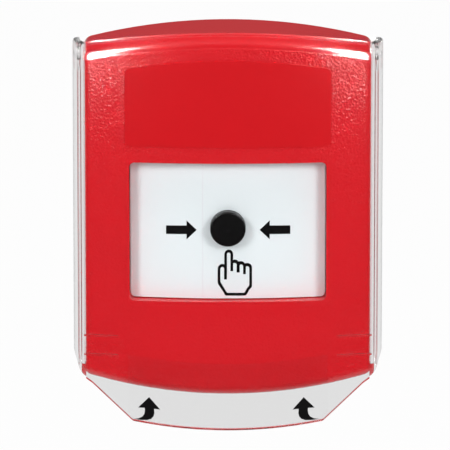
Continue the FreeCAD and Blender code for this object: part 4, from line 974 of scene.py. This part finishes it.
@dataclass
class LiftCover:
    """Clear cover with a clear film over its foot and two bent arrows on its lip."""

    store: FinishStore
    nodes: dict[str, bpy.types.Object]
    front: CoverFront = field(default_factory=CoverFront)
    film_thickness: float = 0.10
    film_gap: float = 0.01
    film_step: float = 1.0
    film_arch_steps: int = 24
    ink_thickness: float = 0.03
    ink_gap: float = 0.02
    film_half: float = 33.65
    film_top: float = -49.95
    film_top_radius: float = 202.0
    film_side_low: float = -65.6
    film_tip_half: float = 31.3
    film_tip: float = -70.7
    film_tip_radius: float = 188.0
    arrow_middle: float = -0.50
    arrow: list[Point] = field(
        default_factory=lambda: [
            (-26.55, -61.22), (-30.24, -64.48), (-28.00, -64.57), (-27.97, -65.40),
            (-28.14, -66.45), (-28.81, -67.30), (-30.03, -67.83), (-31.70, -68.02),
            (-29.35, -68.33), (-27.16, -68.36), (-25.80, -67.95), (-25.03, -67.17),
            (-24.76, -66.23), (-24.83, -64.82), (-22.80, -65.04),
        ]
    )

    def film_outline(self) -> list[Point]:
        """Outline of the film: an arched top edge, straight sides and the lip's own tip.

        Returns:
            The points in order round the film.
        """
        top, tip = [], []
        for index in range(self.film_arch_steps + 1):
            share = 1 - 2 * index / self.film_arch_steps
            across = share * self.film_half
            top.append((across, self.film_top + bow(self.film_top_radius, across)))
            across = -share * self.film_tip_half
            tip.append((across, self.film_tip + bow(self.film_tip_radius, across)))
        left_foot = (-self.film_half, self.film_side_low)
        right_foot = (self.film_half, self.film_side_low)
        return [*top, left_foot, *tip, right_foot]

    def build(self) -> None:
        """Dresses the cover and lays the film and the arrows on its front."""
        self.store.dress(self.nodes["lift_cover"], COVER_CLEAR)
        film = FlatFigure(
            "cover_film",
            [self.film_outline()],
            self.film_thickness,
            self.film_gap,
            self.film_step,
        )
        piece = film.build(self.front.face)
        self.store.dress(piece, FILM_CLEAR)
        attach(piece, "cover")
        LOG.info("laid %s", piece.name)
        lift = self.film_thickness + self.ink_gap
        outlines = {
            Side.LEFT: self.arrow,
            Side.RIGHT: mirrored(self.arrow, self.arrow_middle),
        }
        for side, outline in outlines.items():
            name = f"lip_arrow_{side.name.lower()}"
            piece = FlatFigure(name, [outline], self.ink_thickness, lift).build(self.front.lip)
            self.store.dress(piece, INK)
            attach(piece, "cover")
            LOG.info("printed %s", piece.name)


@dataclass
class Mechanism:
    """Pieces inside the housing, on the back and under it."""

    store: FinishStore
    nodes: dict[str, bpy.types.Object]
    finishes: dict[str, Finish] = field(
        default_factory=lambda: {
            "back_plate": BACK_PLATE,
            "mechanism_chassis": CHASSIS,
            "return_spring": SPRING_STEEL,
            "switch_body": SWITCH_CASE,
            "switch_plunger": SWITCH_RED,
            "switch_lever": SPRING_STEEL,
            "switch_terminals": BRASS,
            "circuit_board": BOARD,
            "terminal_block": BLOCK_GREEN,
            "terminal_screws": SCREW_STEEL,
            "line_resistors": RESISTOR_TAN,
            "status_flag": FLAG,
            "reset_lock_body": LOCK_GREY,
            "reset_barrel": LATCH_WHITE,
            "latch_plate": LATCH_WHITE,
            "chassis_screws": SCREW_STEEL,
            "board_screws": SCREW_STEEL,
            "lock_screws": SCREW_STEEL,
            "housing_screws": SCREW_STEEL,
            "hinge_pins": PIN_STEEL,
        }
    )

    def dress(self) -> None:
        """Gives each inner piece its finish."""
        for name, finish in self.finishes.items():
            self.store.dress(self.nodes[name], finish)
            LOG.info("dressed %s", name)


@dataclass
class SoftLamp:
    """One rectangular soft lamp, aimed at the object, in metres and watts."""

    name: str
    place: tuple[float, float, float]
    size: tuple[float, float]
    power: float
    aim: tuple[float, float, float] = (0.0, -0.02, 0.0)

    def build(self) -> None:
        """Adds the lamp and turns it to what it lights."""
        bpy.ops.object.light_add(type="AREA", location=self.place)
        lamp = bpy.context.view_layer.objects.active
        lamp.name = self.name
        lamp.data.shape = "RECTANGLE"
        lamp.data.size, lamp.data.size_y = self.size
        lamp.data.energy = self.power
        lamp.visible_glossy = False
        lamp.visible_transmission = False
        way = Vector(self.aim) - Vector(self.place)
        lamp.rotation_euler = way.to_track_quat("-Z", "Y").to_euler()


@dataclass
class GlintLamp:
    """One small bare lamp close by, which only shows as a glint, in metres and watts."""

    name: str
    place: tuple[float, float, float]
    power: float

    def build(self, side: Side) -> None:
        """Adds the lamp on one side of the middle.

        Args:
            side: The side it stands on.
        """
        across, away, up = self.place
        bpy.ops.object.light_add(type="POINT", location=(side.value * across, away, up))
        lamp = bpy.context.view_layer.objects.active
        lamp.name = f"{self.name}_{side.name.lower()}"
        lamp.data.energy = self.power
        lamp.data.shadow_soft_size = 0.0
        lamp.visible_diffuse = False


@dataclass
class Studio:
    """White surroundings, a pale floor far below, and the lamps.

    A span says where a change begins and where it is complete: on the floor as a distance
    behind the object in metres, and for the world as a part of the direction.
    """

    floor_height: float = -0.30
    floor_size: float = 12.0
    floor_front: float = 0.75
    floor_tones: Span = (0.78, 0.82)
    floor_cloud: float = 3.0
    floor_roughness: float = 0.9
    floor_glow: float = 0.97
    floor_behind: Span = (-0.05, 0.20)
    floor_near: Span = (-0.52, -0.44)
    most_panes: float = 2.5
    world_behind: Span = (-0.25, 0.35)
    world_above: Span = (0.10, 0.50)
    fill: float = 0.336
    behind_gloss: float = 0.13
    front_gloss: float = 0.022
    through_clear: float = 0.79
    lamps: list[SoftLamp] = field(
        default_factory=lambda: [
            SoftLamp("lamp_left", (-0.85, -1.15, 0.58), (0.45, 0.60), 12.4),
            SoftLamp("lamp_right", (0.85, -1.15, 0.58), (0.45, 0.60), 12.4),
            SoftLamp("lamp_above", (0.0, -0.25, 1.20), (0.60, 0.30), 6.0),
        ]
    )
    glints: list[GlintLamp] = field(
        default_factory=lambda: [
            GlintLamp("glint_1", (0.0797, -0.0536, 0.0783), 0.18),
            GlintLamp("glint_2", (0.0709, -0.0383, 0.0960), 0.10),
            GlintLamp("glint_3", (0.0686, -0.0641, 0.0747), 0.18),
            GlintLamp("glint_4", (0.0670, -0.0502, 0.0915), 0.10),
            GlintLamp("glint_5", (0.0644, -0.0669, 0.0724), 0.13),
            GlintLamp("glint_6", (0.0626, -0.0575, 0.0873), 0.09),
            GlintLamp("glint_7", (0.0560, -0.0670, 0.0785), 0.07),
            GlintLamp("glint_grain", (0.0640, -0.0760, 0.0450), 0.018),
        ]
    )

    def build(self) -> None:
        """Adds the world, the floor and the lamps."""
        self.build_world()
        self.build_floor()
        for lamp in self.lamps:
            lamp.build()
        for glint in self.glints:
            for side in Side:
                glint.build(side)

    def build_world(self) -> None:
        """White where the camera or clear plastic sees it, a soft fill for the rest."""
        world = bpy.data.worlds.new("studio")
        bpy.context.scene.world = world
        world.use_nodes = True
        world.node_tree.nodes.clear()
        sheet = NodeSheet(world.node_tree)
        way = sheet.node("ShaderNodeTexCoord").outputs["Generated"]
        split = sheet.node("ShaderNodeSeparateXYZ", inputs={0: way})
        _, ahead, up = [Value(sheet, output) for output in split.outputs]
        behind = ahead.ease(*self.world_behind)
        around = behind.larger(up.ease(*self.world_above)).larger(sheet.straight())
        mirrored_light = behind * (self.behind_gloss - self.front_gloss) + self.front_gloss
        clear_light = around * (self.through_clear - self.front_gloss) + self.front_gloss
        strength = self.fill + sheet.ray(Ray.GLOSSY) * (mirrored_light - self.fill)
        strength = strength + sheet.ray(Ray.TRANSMISSION) * (clear_light - strength)
        strength = strength + sheet.ray(Ray.CAMERA) * (1.0 - strength)
        light = sheet.node("ShaderNodeBackground", inputs={0: WHITE, 1: strength})
        sheet.node("ShaderNodeOutputWorld", inputs={"Surface": light.outputs[0]})

    def build_floor(self) -> None:
        """Pale floor that the camera sees as white and that still takes shadows."""
        middle = self.floor_size / 2 - self.floor_front
        place = (0.0, middle, self.floor_height)
        bpy.ops.mesh.primitive_plane_add(size=self.floor_size, location=place)
        floor = bpy.context.view_layer.objects.active
        floor.name = "studio_floor"
        material, sheet = new_material("pale_floor")
        spot, (_, away, _) = sheet.place()
        cloud = sheet.noise(spot, self.floor_cloud)
        darker, lighter = [(tone, tone, tone) for tone in self.floor_tones]
        dull = sheet.surface(
            {"Base Color": sheet.blend(cloud, darker, lighter), "Roughness": self.floor_roughness}
        )
        distance = away + middle
        behind = distance.ease(*self.floor_behind)
        near = distance.ease(*self.floor_near) * (1.0 - sheet.panes().above(self.most_panes))
        lit = behind.larger(near).larger(sheet.straight())
        clear_light = lit * (self.through_clear - self.front_gloss) + self.front_gloss
        strength = clear_light + sheet.ray(Ray.CAMERA) * (1.0 - clear_light)
        white = sheet.node("ShaderNodeEmission", inputs={0: WHITE, 1: strength})
        sharp = sheet.ray(Ray.GLOSSY).larger(sheet.ray(Ray.TRANSMISSION))
        seen = sheet.ray(Ray.CAMERA).larger(sharp)
        finish_with(sheet, sheet.choice(seen * self.floor_glow, dull, white.outputs[0]))
        floor.data.materials.append(material)


@dataclass
class PhotographCamera:
    """Long lens at the photograph's height, straight in front, with its sensor in millimetres."""

    target: tuple[float, float, float] = (-0.00096, -0.015, -0.0061)
    distance: float = 2.2
    elevation: float = 13.0
    frame_width: float = 0.1521
    sensor: float = 36.0
    sight: float = 50.0

    def build(self) -> None:
        """Adds the camera and makes it the scene's own."""
        tilt = math.radians(self.elevation)
        way = Vector((0.0, -math.cos(tilt), math.sin(tilt)))
        place = Vector(self.target) + way * self.distance
        bpy.ops.object.camera_add(location=place, rotation=(math.radians(90) - tilt, 0, 0))
        camera = bpy.context.view_layer.objects.active
        camera.name = "photograph_camera"
        camera.data.sensor_width = self.sensor
        camera.data.lens = self.sensor * self.distance / self.frame_width
        camera.data.clip_end = self.sight
        bpy.context.scene.camera = camera


def allow_light_guides() -> None:
    """Lets light run along inside the clear walls, and keeps glints under them at full strength."""
    limits = bpy.context.scene.cycles
    limits.max_bounces = LONGEST_LIGHT_PATH
    limits.glossy_bounces = MOST_PASSES
    limits.transmission_bounces = MOST_PASSES
    limits.transparent_max_bounces = MOST_PASSES
    limits.sample_clamp_indirect = 0.0


def main() -> None:
    """Loads the frame, dresses and completes it."""
    logging.basicConfig(level=logging.INFO, format="%(name)s: %(message)s")
    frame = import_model()
    bpy.context.scene.view_settings.view_transform = "Standard"
    allow_light_guides()
    PhotographCamera().build()
    store = FinishStore()
    nodes = frame["nodes"]
    HousingShell(store, nodes).dress()
    Mechanism(store, nodes).dress()
    PressPlate(store, nodes).build()
    LiftCover(store, nodes).build()
    Studio().build()


if __name__ == "__main__":
    main()
